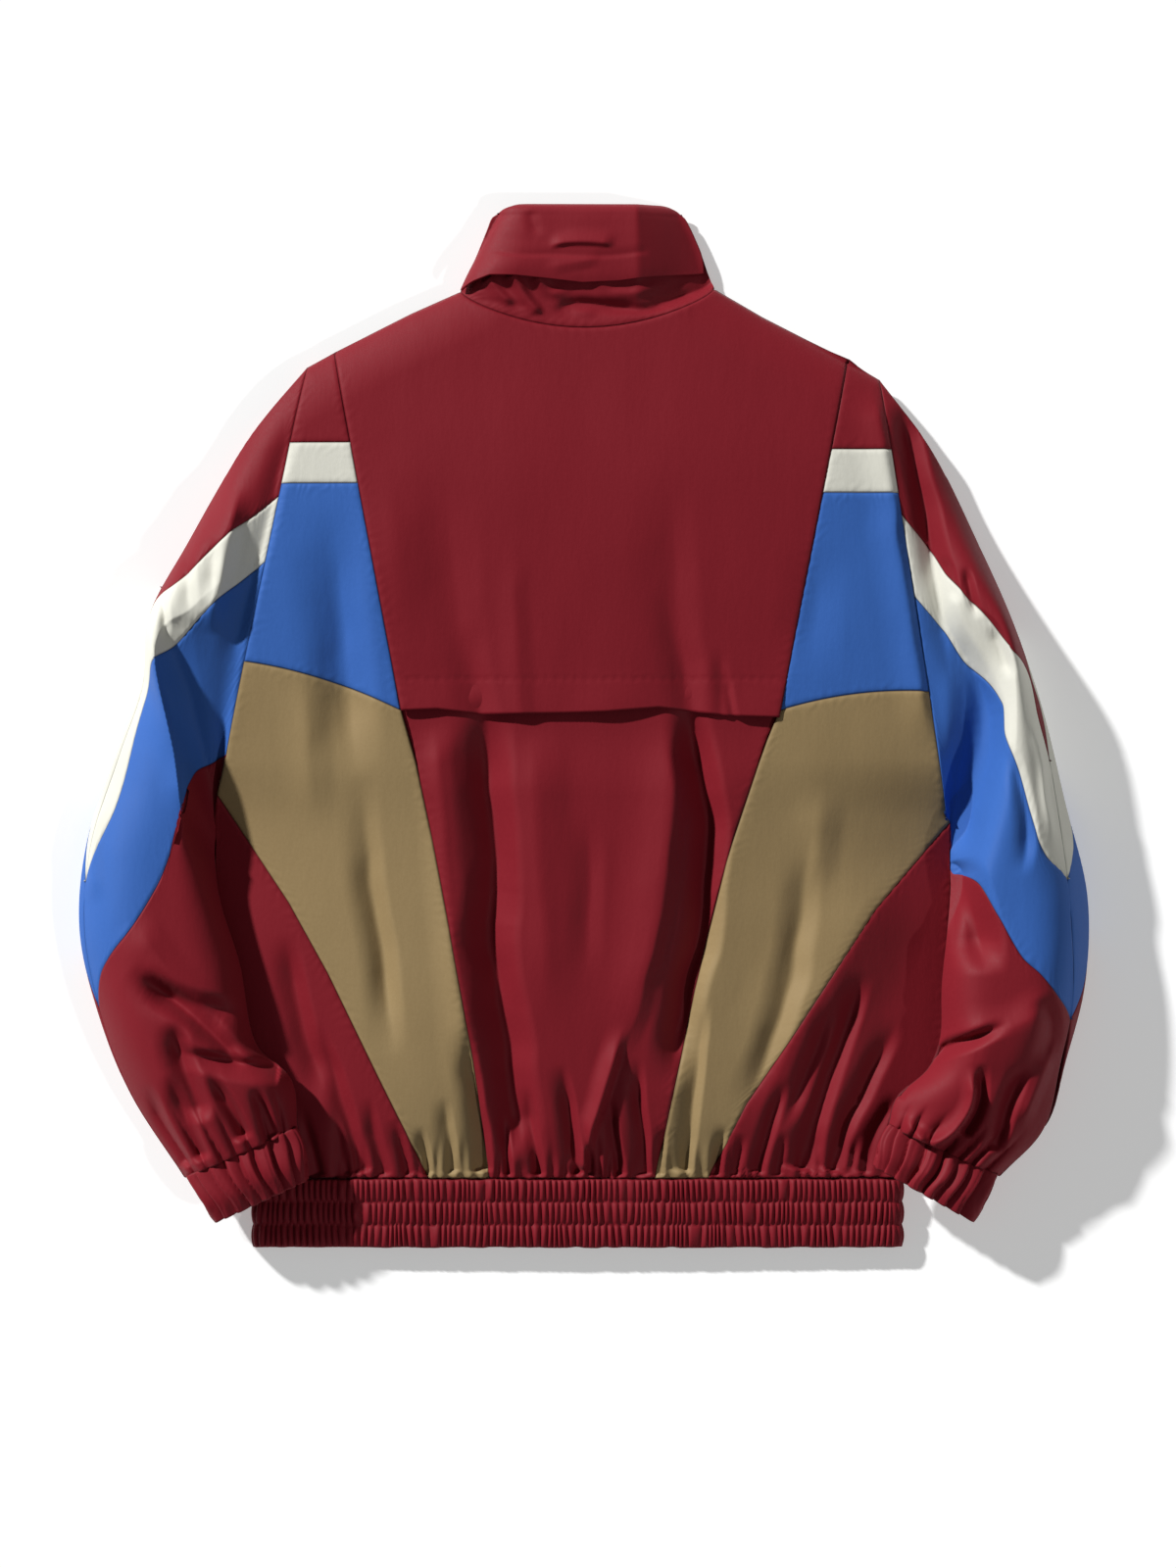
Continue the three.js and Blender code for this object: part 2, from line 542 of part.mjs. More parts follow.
function buildSideBack(name, side) {
  const armhole = (y) => atY(side.shoulder, side.armpit, y);
  const princess = (y) => atY(side.princessTop, side.princess[0], y);
  const level = (first, second, steps, columns, finish, piece, bow) => {
    const grid = between(first, second, steps, columns, bow);
    add(`${name}_back_${piece}`, bodyWall(grid, backZ, 1), finish);
  };
  const bow = 5;
  level([side.shoulder, armhole(side.creamTop)], [side.princessTop, princess(side.creamTop)], 4, 4, burgundy, 'shoulder');
  level([armhole(side.creamTop), armhole(side.creamBottom)], [princess(side.creamTop), princess(side.creamBottom)],
    3, 5, cream, 'stripe');
  level([armhole(side.creamBottom), armhole(side.blueBottom)], [princess(side.creamBottom), side.princess[0]],
    8, 8, blue, 'blue', (t) => bow * t);
  const edge = [armhole(side.blueBottom), side.armpit, side.corner, ...side.diagonal];
  edge[1] = [side.armpit[0] - Math.sign(side.armpit[0]) * 0.2, side.armpit[1]];
  level(edge, side.princess, 3, 8, khaki, 'khaki', (t) => bow * clamp01(1 - t * 6));
  const top = lerpPoint(side.corner, side.diagonal[0], 0.03);
  level([side.sideTop, ...side.sideSeam], [top, ...side.diagonal], 3, 10, burgundy, 'side');
}

// The fronts: plain panels on the surface, each side of the closed zip
function buildFront(name, side, sign) {
  const centre = zipX + sign * zipHalfWidth;
  const shareAt = (x) => (x - neckEnds.left) / (neckEnds.right - neckEnds.left);
  const start = neckPoint(sign < 0 ? 0 : 1);
  const outer = [start, side.shoulder, side.armpit, ...side.sideSeam];
  const neckEnd = neckPoint(shareAt(centre));
  const inner = outer.map((_, i) => [centre, lerp(neckEnd[1], hemSeamY, i / (outer.length - 1))]);
  const grid = between(outer, inner, 2, 7);
  const sagged = grid.map((row, i) => row.map(([x, y]) => {
    const straight = lerp(start[1], neckEnd[1], (x - start[0]) / (centre - start[0]));
    return [x, y + (neckPoint(clamp01(shareAt(x)))[1] - 0.8 - straight) * clamp01(1 - i / 3)];
  }));
  add(`${name}_front`, bodyWall(sagged, frontZ, -1), burgundy);
}

// Where a point seen from above lies on a sleeve, as [along, turn]
function onSleeve(rows, x, y) {
  const offLine = (along) => {
    const [ax, ay] = [read(rows, 'innerX', along), read(rows, 'innerY', along)];
    const [bx, by] = [read(rows, 'outerX', along), read(rows, 'outerY', along)];
    return (bx - ax) * (y - ay) - (by - ay) * (x - ax);
  };
  let [low, high] = [0, rows.length - 1];
  const start = Math.sign(offLine(high));
  for (let i = 0; i < 40; i += 1) {
    const mid = (low + high) / 2;
    if (Math.sign(offLine(mid)) === start) high = mid;
    else low = mid;
  }
  const along = low < 0.05 ? 0 : low;
  const [ax, ay] = [read(rows, 'innerX', along), read(rows, 'innerY', along)];
  const [dx, dy] = [read(rows, 'outerX', along) - ax, read(rows, 'outerY', along) - ay];
  const share = clamp01(((x - ax) * dx + (y - ay) * dy) / (dx * dx + dy * dy));
  return [along, Math.acos(1 - 2 * share)];
}

// A sleeve, in four colours on the back half and the same four on the front half
function buildSleeve(name, rows, folds, seams) {
  const over = (along) => Math.acos(-Math.min(1, read(rows, 'seam', along)));
  const trace = (table) => table.map((p) => onSleeve(rows, p.x, p.y));
  const toSeam = (line) => [...line.slice(0, -1), [line[line.length - 1][0], over(line[line.length - 1][0])]];
  const fromArmhole = (line) => [[0, line[0][1]], ...line.slice(1)];
  const cap = fromArmhole(toSeam(trace(seams.cap)));
  const stripe = fromArmhole(toSeam(trace(seams.stripe)));
  const elbow = toSeam(trace(seams.elbow));
  const startsAtArmhole = elbow[0][0] === 0;
  if (!startsAtArmhole) elbow[0][1] = 0;
  const end = (line) => line[line.length - 1][0];
  const cuffRow = rows.length - 1;
  const overArm = (from, to, count) => Array.from({ length: count + 1 }, (_, i) => {
    const along = lerp(from, to, i / count);
    return [along, over(along)];
  });
  const capTop = overArm(0, end(cap) - pointWidth, cap.length - 1);
  const stripeTop = [...cap, ...overArm(end(cap), end(stripe) - pointWidth, stripe.length - cap.length).slice(1)];
  const blueLow = startsAtArmhole ? elbow : [[0, 0], [elbow[0][0] / 2, 0], ...elbow];
  const blueTop = [...stripe, ...overArm(end(stripe), end(elbow) - pointWidth, blueLow.length - stripe.length).slice(1)];
  const cuffLine = elbow.map((_, i) => [cuffRow, (Math.PI * i) / (elbow.length - 1)]);
  const spread = (a, b, count) => a.map((p, i) => Array.from({ length: count + 1 },
    (_, j) => lerpPoint(p, b[i], j / count)));
  const panel = (piece, first, second, columns, finish) => {
    add(`${name}_sleeve_back_${piece}`, sleeveWall(rows, folds, spread(first, second, columns)), finish);
    const front = (line) => line.map(([along, t]) => {
      const seam = over(along);
      return [along, seam + ((seam - t) / seam) * (2 * Math.PI - seam)];
    });
    const below = spread(front(first), front(second), Math.ceil(columns * 0.6));
    add(`${name}_sleeve_front_${piece}`, sleeveWall(rows, folds, below), finish);
  };
  panel('cap', capTop, cap, 6, burgundy);
  panel('stripe', stripeTop, stripe, 3, cream);
  panel('blue', blueTop, blueLow, 8, blue);
  panel('lower', elbow, cuffLine, 12, burgundy);
}

// A cuff: a short gathered tube
function buildCuff(name, rows) {
  const columns = cuffRibs * 4;
  const levels = 3;
  const [outer, inner] = [[], []];
  for (let i = 0; i <= levels; i += 1) {
    const along = (i / levels) * (rows.length - 1);
    const puff = Math.sin((Math.PI * i) / levels) * 1.4;
    outer.push([]);
    inner.push([]);
    for (let j = 0; j < columns; j += 1) {
      const turn = (2 * Math.PI * (j + 0.5)) / columns;
      const point = sleevePoint(rows, [], along, turn);
      const middle = sleevePoint(rows, [], along, Math.PI / 2).setZ((sleevePoint(rows, [], along, 0).z
        + sleevePoint(rows, [], along, Math.PI).z) / 2);
      const inward = middle.sub(point).normalize();
      const rib = Math.sin(turn) > -0.1 ? (j % 2 ? 1.5 : -0.6) : 0;
      outer[i].push(point.clone().addScaledVector(inward, -(rib + puff * (Math.sin(turn) > 0 ? 1 : 0))));
      inner[i].push(point.clone().addScaledVector(inward, clothWall + 1));
    }
  }
  add(`${name}_cuff`, wall(outer, inner, true), burgundy);
}

// The elastic hem: one band from the zip round the back to the zip, ribbed in three channels
function buildHem() {
  const [left, right, height, bendSteps] = [-244, 234.5, 16.5, 5];
  const bend = height / 2;
  const path = [];
  const bottomSteps = 2;
  for (let i = 0; i < bottomSteps; i += 1) {
    path.push({ x: lerp(zipX - zipHalfWidth - seamGap, left + bend, i / bottomSteps), z: 0, nx: 0, nz: -1, rib: 0 });
  }
  const arc = (centreX, from) => {
    for (let i = 0; i <= bendSteps; i += 1) {
      const a = from - (Math.PI * i) / bendSteps;
      const [nx, nz] = [Math.cos(a), Math.sin(a)];
      path.push({ x: centreX + bend * nx, z: bend + bend * nz, nx, nz, rib: 0 });
    }
  };
  arc(left + bend, -Math.PI / 2);
  const ribs = Math.round((right - left - 2 * bend) / hemRibPitch) * 2;
  for (let i = 1; i < ribs; i += 1) {
    const wander = 0.22 * Math.sin(i * 1.7) * (i % 2 ? 1 : -1);
    const x = lerp(left + bend, right - bend, (i + wander) / ribs);
    const rise = 1.6 * Math.sin((Math.PI * i) / ribs);
    path.push({ x, z: height + rise, nx: 0, nz: 1, rib: i % 2 ? 1 : -0.35 });
  }
  arc(right - bend, Math.PI / 2);
  for (let i = bottomSteps - 1; i >= 0; i -= 1) {
    path.push({ x: lerp(zipX + zipHalfWidth + seamGap, right - bend, i / bottomSteps), z: 0, nx: 0, nz: -1, rib: 0 });
  }
  const rows = hemChannels * 2;
  const [outer, inner] = [[], []];
  for (let i = 0; i <= rows; i += 1) {
    const y = lerp(hemSeamY - seamGap, hemBottomY, i / rows);
    const puff = i % 2;
    const at = (p, out) => new THREE.Vector3(p.x + out * p.nx, y, p.z + out * p.nz);
    outer.push(path.map((p) => at(p, p.rib ? puff * 1.1 - 0.5 + p.rib * (0.45 + 0.55 * puff) : 0)));
    inner.push(path.map((p) => at(p, -clothWall - (p.rib ? 1 : 0))));
  }
  add('hem_band', wall(outer, inner), burgundy);
}

// A point of the stand collar's outer face: the back half is up, the front half lies on the surface
function collarPoint(rows, along, turn) {
  const at = (name) => read(rows, name, along);
  const share = (1 - Math.cos(turn)) / 2;
  const x = lerp(at('left'), at('right'), share);
  const y = at('endY') + 2 * share - at('dip') * Math.sin(Math.PI * share) ** 0.7;
  const up = Math.sin(turn);
  const seam = 1 - smooth(along / 0.8);
  if (up >= 0) {
    const own = collarEdge + (at('crown') - collarEdge) * up ** 0.6;
    return new THREE.Vector3(x, y, lerp(own, backZ(x, y), seam));
  }
  const low = collarEdge * (1 + up) ** 3;
  return new THREE.Vector3(x, y, lerp(Math.max(0, low - 0.1), frontZ(x, y), seam));
}

function buildCollar() {
  const levels = 7;
  const nearZip = 0.06;
  const turns = [-Math.PI / 2 + nearZip];
  for (let i = 1 - neckSteps / 2; i < neckSteps * 1.5; i += 1) turns.push((Math.PI * i) / neckSteps);
  turns.push(1.5 * Math.PI - nearZip);
  const [outer, inner] = [[], []];
  for (let i = 0; i <= levels; i += 1) {
    const along = (i / levels) * (collarRows.length - 1);
    outer.push([]);
    inner.push([]);
    for (let j = 0; j < turns.length; j += 1) {
      const turn = turns[j];
      const point = collarPoint(collarRows, along, turn);
      if (j === 0) point.x = zipX - zipHalfWidth;
      if (j === turns.length - 1) point.x = zipX + zipHalfWidth;
      const crumple = Math.sin(turn) > 0 ? 1.6 * Math.sin(Math.PI * (i / levels)) * Math.sin(turn)
        * Math.sin(j * 1.35 + i * 0.9) : 0;
      const flat = new THREE.Vector3(-Math.cos(turn) * 0.35 * (1 - Math.abs(Math.sin(turn))) * 3, 0, Math.sin(turn));
      const out = flat.normalize();
      if (i === 0) point.y += seamGap;
      outer[i].push(point.clone().addScaledVector(new THREE.Vector3(0, 0, 1), crumple));
      inner[i].push(point.clone().addScaledVector(out, -clothWall).add(new THREE.Vector3(0, 0, Math.min(0, crumple))));
    }
  }
  add('collar_stand', wall(outer, inner), burgundy);
}

// The collar's outer flap, folded down over the stand
function buildCollarFlap() {
  const columns = 18;
  const steps = 8;
  const [outer, inner] = [[], []];
  for (let i = 0; i <= steps; i += 1) {
    const along = (i / steps) * (collarFlapRows.length - 1);
    const at = (name) => read(collarFlapRows, name, along);
    const row = [];
    for (let j = 0; j <= columns; j += 1) {
      const turn = lerp(0.1, Math.PI - 0.1, j / columns);
      const share = (1 - Math.cos(turn)) / 2;
      const x = lerp(at('left'), at('right'), share);
      const y = at('endY') - at('dip') * Math.sin(Math.PI * share);
      const stand = collarEdge + (read(collarRows, 'crown', at('endY'), 'endY') - collarEdge) * Math.sin(turn) ** 0.6;
      row.push(new THREE.Vector3(x, y, stand + at('lift') - at('drop')));
    }
    outer.push(row);
    inner.push(row.map((p) => p.clone().add(new THREE.Vector3(0, -clothWall * clamp01(at('drop') / 8), -clothWall))));
  }
  add('collar_flap', wall(outer, inner), burgundy);
}

// The closed zip, set back from the surface, and its slider at the top of the collar
function buildZip() {
  const [top, back, thick] = [364, 0.4, 1.6];
  const width = 2 * (zipHalfWidth - seamGap);
  const tape = new THREE.BoxGeometry(width, top - hemBottomY - 1, thick);
  tape.translate(zipX, (top + hemBottomY + 1) / 2, back + thick / 2);
  add('front_zip', tape, burgundy);
  const [low, high, wide, plate] = [355, 370, 7, 0.9];
  const above = back + thick + seamGap;
  const profile = new THREE.Shape([
    [low, above], [top + 1, above], [top + 1, 0], [high, 0], [high, above + plate], [low, above + plate],
  ].map(([y, z]) => new THREE.Vector2(y, z)));
  const slider = new THREE.ExtrudeGeometry(profile, { depth: wide, bevelEnabled: false });
  slider.applyMatrix4(new THREE.Matrix4().set(0, 0, 1, zipX - wide / 2, 1, 0, 0, 0, 0, 1, 0, 0, 0, 0, 0, 1));
  add('zip_slider', slider, { ...zipMetal, metalness: 0.7 });
}

buildYoke();
buildLowerBack();
buildSideBack('left', sides.left);
buildSideBack('right', sides.right);
buildFront('left', sides.left, -1);
buildFront('right', sides.right, 1);
buildSleeve('left', leftSleeve, leftSleeveFolds, leftSeams);
buildSleeve('right', rightSleeve, rightSleeveFolds, rightSeams);
buildCuff('left', leftCuff);
buildCuff('right', rightCuff);
buildHem();
buildCollar();
buildCollarFlap();
buildZip();

export default garment;
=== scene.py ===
# Looks of a colour-blocked windbreaker jacket, laid on a pale floor with its back up
import math

import bmesh
import bpy
import numpy as np
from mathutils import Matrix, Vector


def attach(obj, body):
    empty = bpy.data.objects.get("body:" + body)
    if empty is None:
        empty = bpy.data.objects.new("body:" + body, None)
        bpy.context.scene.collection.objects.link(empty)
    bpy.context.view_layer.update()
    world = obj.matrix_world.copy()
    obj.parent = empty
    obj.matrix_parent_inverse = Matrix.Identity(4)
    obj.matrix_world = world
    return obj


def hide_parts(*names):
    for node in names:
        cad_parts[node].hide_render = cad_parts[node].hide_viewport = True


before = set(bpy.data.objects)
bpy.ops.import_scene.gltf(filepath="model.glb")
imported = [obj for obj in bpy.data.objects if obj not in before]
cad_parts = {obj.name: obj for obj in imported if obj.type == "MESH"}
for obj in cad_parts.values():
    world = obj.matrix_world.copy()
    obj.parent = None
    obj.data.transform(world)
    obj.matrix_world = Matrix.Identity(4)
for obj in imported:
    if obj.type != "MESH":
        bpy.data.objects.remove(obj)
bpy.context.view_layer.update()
print("frame loaded")

# Sizes here are in millimetres until a mesh is made: X to the right, Y to the collar, Z up
cell = {"back": 1.8, "sleeve": 1.7, "under": 5.0}
clothWall = 1.6
neckEnds = (-91, 96)
neckSeamY = 321
neckDip = 29
hemSeamY = -332
hemBottomY = -383
ventY = 10
zipX = 3
zipHalfWidth = 4.6
edgeHeight = 9


# Puts rows of numbers under named columns
def table(columns, *rows):
    names = columns.split()
    return {name: np.array([row[i] for row in rows], float) for i, name in enumerate(names)}


def smooth(t):
    t = np.clip(t, 0, 1)
    return t * t * (3 - 2 * t)


def rollUp(t):
    return np.sqrt(1 - (1 - np.clip(t, 0, 1)) ** 2)


def mix(a, b, t):
    return a + (b - a) * t


# Reads a column of a table as a smooth curve, ordered by a column or by the row's number
def readCurve(rows, name, at, key=None):
    values = rows[name]
    order = rows[key] if key else np.arange(len(values), dtype=float)
    if order[-1] < order[0]:
        order = order[::-1]
        values = values[::-1]
    slopes = np.gradient(values, order)
    slopes[1:-1] = (values[2:] - values[:-2]) / (order[2:] - order[:-2])
    at = np.clip(at, order[0], order[-1])
    i = np.clip(np.searchsorted(order, at, side="right") - 1, 0, len(order) - 2)
    span = order[i + 1] - order[i]
    t = (at - order[i]) / span
    p, q = values[i], values[i + 1]
    m, n = slopes[i] * span, slopes[i + 1] * span
    return p + m * t + (3 * (q - p) - 2 * m - n) * t**2 + (2 * (p - q) + m + n) * t**3


# A smooth line through points, sampled at equal steps of its length
def smoothLine(points, count, soft=True):
    points = np.array(points, float)
    reach = np.concatenate([[0], np.cumsum(np.linalg.norm(np.diff(points, axis=0), axis=1))])
    dense = np.linspace(0, reach[-1], max(count * 4, 64))
    if soft and len(points) > 2:
        rows = {str(n): points[:, n] for n in range(points.shape[1])}
        rows["reach"] = reach
        line = np.stack([readCurve(rows, str(n), dense, "reach") for n in range(points.shape[1])], axis=1)
    else:
        line = np.stack([np.interp(dense, reach, points[:, n]) for n in range(points.shape[1])], axis=1)
    length = np.concatenate([[0], np.cumsum(np.linalg.norm(np.diff(line, axis=0), axis=1))])
    even = np.linspace(0, length[-1], count)
    return np.stack([np.interp(even, length, line[:, n]) for n in range(points.shape[1])], axis=1)


# Distance from a line, above zero on its +X side where it runs down, and the share of the way along it
def nearLine(x, y, line):
    best = np.full(x.shape, 1e9)
    side = np.zeros(x.shape)
    share = np.zeros(x.shape)
    steps = np.linalg.norm(np.diff(line, axis=0), axis=1)
    start = np.concatenate([[0], np.cumsum(steps)])
    for i, length in enumerate(steps):
        ax, ay = line[i]
        dx, dy = (line[i + 1] - line[i]) / length
        t = np.clip((x - ax) * dx + (y - ay) * dy, 0, length)
        px = x - ax - dx * t
        py = y - ay - dy * t
        away = np.hypot(px, py)
        nearer = away < best
        best = np.where(nearer, away, best)
        side = np.where(nearer, np.sign(py * dx - px * dy), side)
        share = np.where(nearer, (start[i] + t) / start[-1], share)
    return best * side, share


# Soft noise between -1 and 1 that repeats after 64 cells
def softNoise(x, y, size, seed):
    grid = np.random.RandomState(seed).uniform(-1, 1, (64, 64))
    u, v = x / size, y / size
    i, j = np.floor(u).astype(int), np.floor(v).astype(int)
    s, t = smooth(u - i), smooth(v - j)
    top = mix(grid[i % 64, j % 64], grid[(i + 1) % 64, j % 64], s)
    low = mix(grid[i % 64, (j + 1) % 64], grid[(i + 1) % 64, (j + 1) % 64], s)
    return mix(top, low, t)


# Runs from 0 to 1 with a straight middle. start and finish are the shares over which it bends
def ramp(u, start, finish):
    u = np.clip(u, 0, 1)
    begin = u**2 / (2 * start)
    end = 1 - start / 2 - finish / 2 - (1 - u) ** 2 / (2 * finish)
    value = np.where(u < start, begin, np.where(u < 1 - finish, u - start / 2, end))
    return value / (1 - start / 2 - finish / 2)


# Shares of a fold over which its two ends fade, where its row gives none
endFade = (0.25, 0.25)


def fadeEnds(share, startTaper, endTaper):
    first = smooth(share / startTaper) if startTaper else 1.0
    return first * (smooth((1 - share) / endTaper) if endTaper else 1.0)


# Makes straight lines through the cloth a little uneven
def wobble(x, y):
    return x + 1.3 * softNoise(x, y, 23, 31), y + 1.3 * softNoise(x, y, 23, 32)


# Adds up folds. Each row has the crest's points, the widths of its two flanks, its height and how soon its
# ends fade. A fold rises over the first width, on the left of a crest that runs down, and falls over the
# other, with a sharp crease at the crest. Below zero it is a valley.
def foldHeight(folds, x, y):
    total = np.zeros(x.shape)
    x, y = wobble(x, y)
    for points, rise, fall, height, *tapers in folds:
        line = smoothLine(points, 3 * len(points) + 2)
        reach = 1.5 * max(rise, fall)
        low, high = line.min(axis=0) - reach, line.max(axis=0) + reach
        inside = (x > low[0]) & (x < high[0]) & (y > low[1]) & (y < high[1])
        if not inside.any():
            continue
        away, share = nearLine(x[inside], y[inside], line)
        gentle = 1 - ramp(-away / (1.5 * rise), 0.16, 0.6)
        steep = 1 - ramp(away / (1.5 * fall), 0.14, 0.35)
        faded = height * fadeEnds(share, *(tapers or endFade))
        total[inside] += faded * np.where(away < 0, gentle, steep)
    return total


# The body, from the shoulders to the hem
bodyRows = table(
    "y left right leftZ midZ rightZ",
    (340, -80, 90, 22, 25, 21),
    (264, -204, 219, 27, 33, 25),
    (180, -221.4, 231.2, 34, 41, 32),
    (60, -246.2, 248.7, 34, 43, 33),
    (-24, -264, 261, 24, 42, 30),
    (-66, -269, 267, 14, 41, 16),
    (-100, -270, 268, 10.9, 40.4, 11),
    (-150, -271, 268, 10.9, 39, 10.9),
    (-222, -267, 263, 10.9, 36, 10.9),
    (-290, -256, 251, 10.9, 29, 10.9),
    (-332, -245, 237, 10.9, 16.5, 10.9),
)
shoulderLines = (
    np.array([(-240, 240), (-204, 265), (-127, 305), (-91, 321)], float),
    np.array([(250, 232), (217.5, 256), (132, 302), (96, 323)], float),
)

# Folds of the back: crest points, rise, fall, height, and how soon each end fades
backFolds = [
    ([(212, 250), (222, 190), (232, 120), (243, 50), (253, -20)], 16, 5, 4, 0.1, 0.2),
    ([(232, 240), (245, 185), (257, 120), (264, 70), (268, 20)], 12, 9, -12, 0.15, 0.5),
    ([(-212, 235), (-226, 180), (-238, 130), (-250, 80), (-258, 40)], 10, 7, -3),
    ([(-74, 30), (-70, -42), (-66, -89), (-65, -122), (-68, -146), (-65, -180), (-58, -220), (-53, -256),
      (-46, -320)],
     19, 15, -17, 0.2, 0.1),
    ([(73, 30), (83, -24), (89, -58), (91, -89), (88, -125), (84, -160), (75, -194), (70, -227), (63, -270)],
     15, 12, -17, 0.2, 0.2),
    ([(60, 30), (64, -42), (60, -100), (52, -150), (38, -210), (20, -250)], 26, 9, 6, 0.35, 0.3),
    ([(238, -96), (202, -150), (166, -215), (142, -270)], 40, 34, 8, 0.3, 0.3),
    ([(-186, 168), (-182, 110), (-177, 60), (-172, 10), (-170, -40)], 26, 18, -10, 0.5, 0.3),
    ([(-110, 4), (-104, -60), (-98, -140), (-90, -220), (-82, -300)], 14, 14, 4, 0.1, 0.3),
    ([(-36, 0), (-34, -77), (-29, -149), (-26, -221)], 16, 20, 3, 0.2, 0.3),
    ([(2, -60), (4, -120), (0, -190)], 12, 9, -2.5, 0.4, 0.4),
    ([(31, -216), (18, -256), (2, -305), (-2, -328)], 9, 5, 7, 0.3, 0.05),
    ([(-162, -30), (-160, -78), (-154, -128), (-147, -168), (-143, -209), (-140, -244)], 14, 9, -9, 0.5, 0.3),
    ([(-205, 40), (-202, -20), (-196, -80)], 16, 14, 3, 0.4, 0.4),
    ([(-90, -216), (-80, -262), (-73, -328)], 12, 5, -9, 0.4, 0.02),
    ([(-104, -270), (-96, -328)], 8, 4, -4, 0.4, 0.02),
    ([(168, -60), (162, -113), (154, -173), (138, -233), (114, -290)], 14, 10, -7, 0.5, 0.3),
    ([(90, -196), (82, -250), (75, -328)], 12, 4.5, -6, 0.3, 0.02),
    ([(176, -40), (172, -90), (164, -130)], 18, 14, 3, 0.4, 0.4),
    ([(-222, -150), (-212, -196), (-202, -236), (-190, -280)], 14, 8, -9, 0.3, 0.3),
    ([(-196, -216), (-184, -256), (-170, -300), (-162, -328)], 10, 6, -7, 0.35, 0.03),
    ([(206, -176), (196, -214), (180, -262), (160, -328)], 14, 7, -10, 0.25, 0.02),
    ([(230, -214), (214, -252), (196, -286), (182, -328)], 11, 6, -9, 0.3, 0.02),
    ([(184, -196), (168, -246), (146, -300)], 10, 6, -6, 0.35, 0.3),
    ([(232, -268), (214, -300), (206, -328)], 8, 5, -6, 0.3, 0.02),
    ([(150, -256), (138, -290), (128, -328)], 8, 4.5, -6, 0.4, 0.02),
    ([(-104, 190), (-98, 120), (-92, 50), (-90, 16)], 30, 18, -3, 0.5, 0.1),
    ([(62, 190), (66, 110), (70, 50), (72, 14)], 26, 14, -3, 0.5, 0.1),
    ([(98, 60), (101, 10)], 9, 5, -1.8, 0.5, 0.05),
    ([(-146, 210), (-138, 130), (-130, 60)], 26, 22, 2.5, 0.5, 0.5),
    ([(172, 140), (168, 80), (162, 36)], 24, 18, -2.5, 0.5, 0.4),
]
# Folds of the yoke's free edge
ventFolds = [
    ([(-90, 78), (-84, 50), (-79, 28), (-75, 2)], 14, 12, -5, 0.9, 0.01),
    ([(58, 112), (64, 76), (72, 44), (80, 4)], 15, 14, -4, 0.9, 0.01),
    ([(102, 44), (106, 28), (110, 4)], 6, 3, -2.4, 0.5, 0.01),
    ([(-52, 150), (-50, 90), (-47, 40), (-46, 4)], 14, 9, 1.6, 0.5, 0.01),
]
gatherEndY = -330
# Gathers above the hem: where each starts, its x at the hem, rise, fall, height and how soon it fades in
gathers = [
    (-60, -282, -55, 7, 3.6, -5, 0.5), (-42, -262, -32, 9, 3.8, -7, 0.4),
    (-16, -246, -4, 9, 4, -7.5, 0.4), (-2, -286, 6, 6, 3.2, -4, 0.5), (18, -268, 28, 8, 3.6, -6, 0.4),
    (38, -240, 45, 9, 4, -7, 0.4), (-120, -292, -114, 8, 3.6, -5, 0.5),
    (-140, -286, -128, 7, 3.6, -4.5, 0.5), (-160, -270, -146, 8, 4, -5.5, 0.5),
    (-186, -280, -174, 8, 4, -5, 0.5), (-208, -276, -194, 8, 4, -5.5, 0.5),
    (-230, -286, -216, 7, 4, -5, 0.5), (57, -290, 56, 6, 3.4, -4, 0.5),
    (104, -290, 97, 7, 3.4, -5, 0.5), (118, -296, 111, 6, 3.4, -4, 0.5),
    (148, -296, 143, 6, 3.4, -4, 0.5), (176, -290, 170, 6, 3.6, -4, 0.5),
    (204, -296, 193, 7, 3.6, -4.5, 0.5), (230, -300, 222, 6, 3.6, -4, 0.5),
]
gatherFolds = [([(x, y), (hemX, gatherEndY)], rise, fall, height, fade, 0.02)
               for x, y, hemX, rise, fall, height, fade in gathers]


def belowShoulder(x, y):
    left, _ = nearLine(x, y, shoulderLines[0])
    right, _ = nearLine(x, y, shoulderLines[1])
    return np.minimum(np.abs(left), np.abs(right))


# Small uneven gathers just above the hem
def smallGathers(x, y):
    n = x / 9.5 + 0.9 * softNoise(x, y * 0.4, 26, 5)
    reach = 30 + 14 * softNoise(x, y * 0, 15, 6)
    return 1.1 * np.cos(2 * math.pi * n) * smooth(1 - (y - hemSeamY) / reach)


def backHeight(x, y):
    left = readCurve(bodyRows, "left", y, "y")
    right = readCurve(bodyRows, "right", y, "y")
    across = np.clip(2 * (x - left) / (right - left) - 1, -1, 1)
    leftZ, mid, rightZ = (readCurve(bodyRows, name, y, "y") for name in ("leftZ", "midZ", "rightZ"))
    side = np.where(across < 0, leftZ, rightZ)
    calm = 1 - np.abs(across) ** 6 * smooth((armpitY(x) + 40 - y) / 60)
    swell = mid - (mid - side) * np.abs(across) ** 2.2
    soft = 0.8 * softNoise(x, y * 0.6, 60, 1) + 0.3 * softNoise(x, y * 0.4, 24, 2)
    creased = foldHeight(backFolds, x, y) + foldHeight(gatherFolds, x, y) + smallGathers(x, y) + soft
    full = swell + calm * creased
    edge = edgeHeight + 0.15 + clothWall
    return edge + (full - edge) * rollUp(belowShoulder(x, y) / 38)


def armpitY(x):
    return np.where(x < 0, leftSleeve["innerY"][0], rightSleeve["innerY"][0])


def frontHeight(x, y):
    left = readCurve(bodyRows, "left", y, "y")
    right = readCurve(bodyRows, "right", y, "y")
    above = np.maximum(0, y - armpitY(x))
    inside = np.minimum(np.minimum(x - left, right - x) + above, belowShoulder(x, y))
    return (edgeHeight + clothWall - 0.1) * (1 - rollUp(inside / 16))


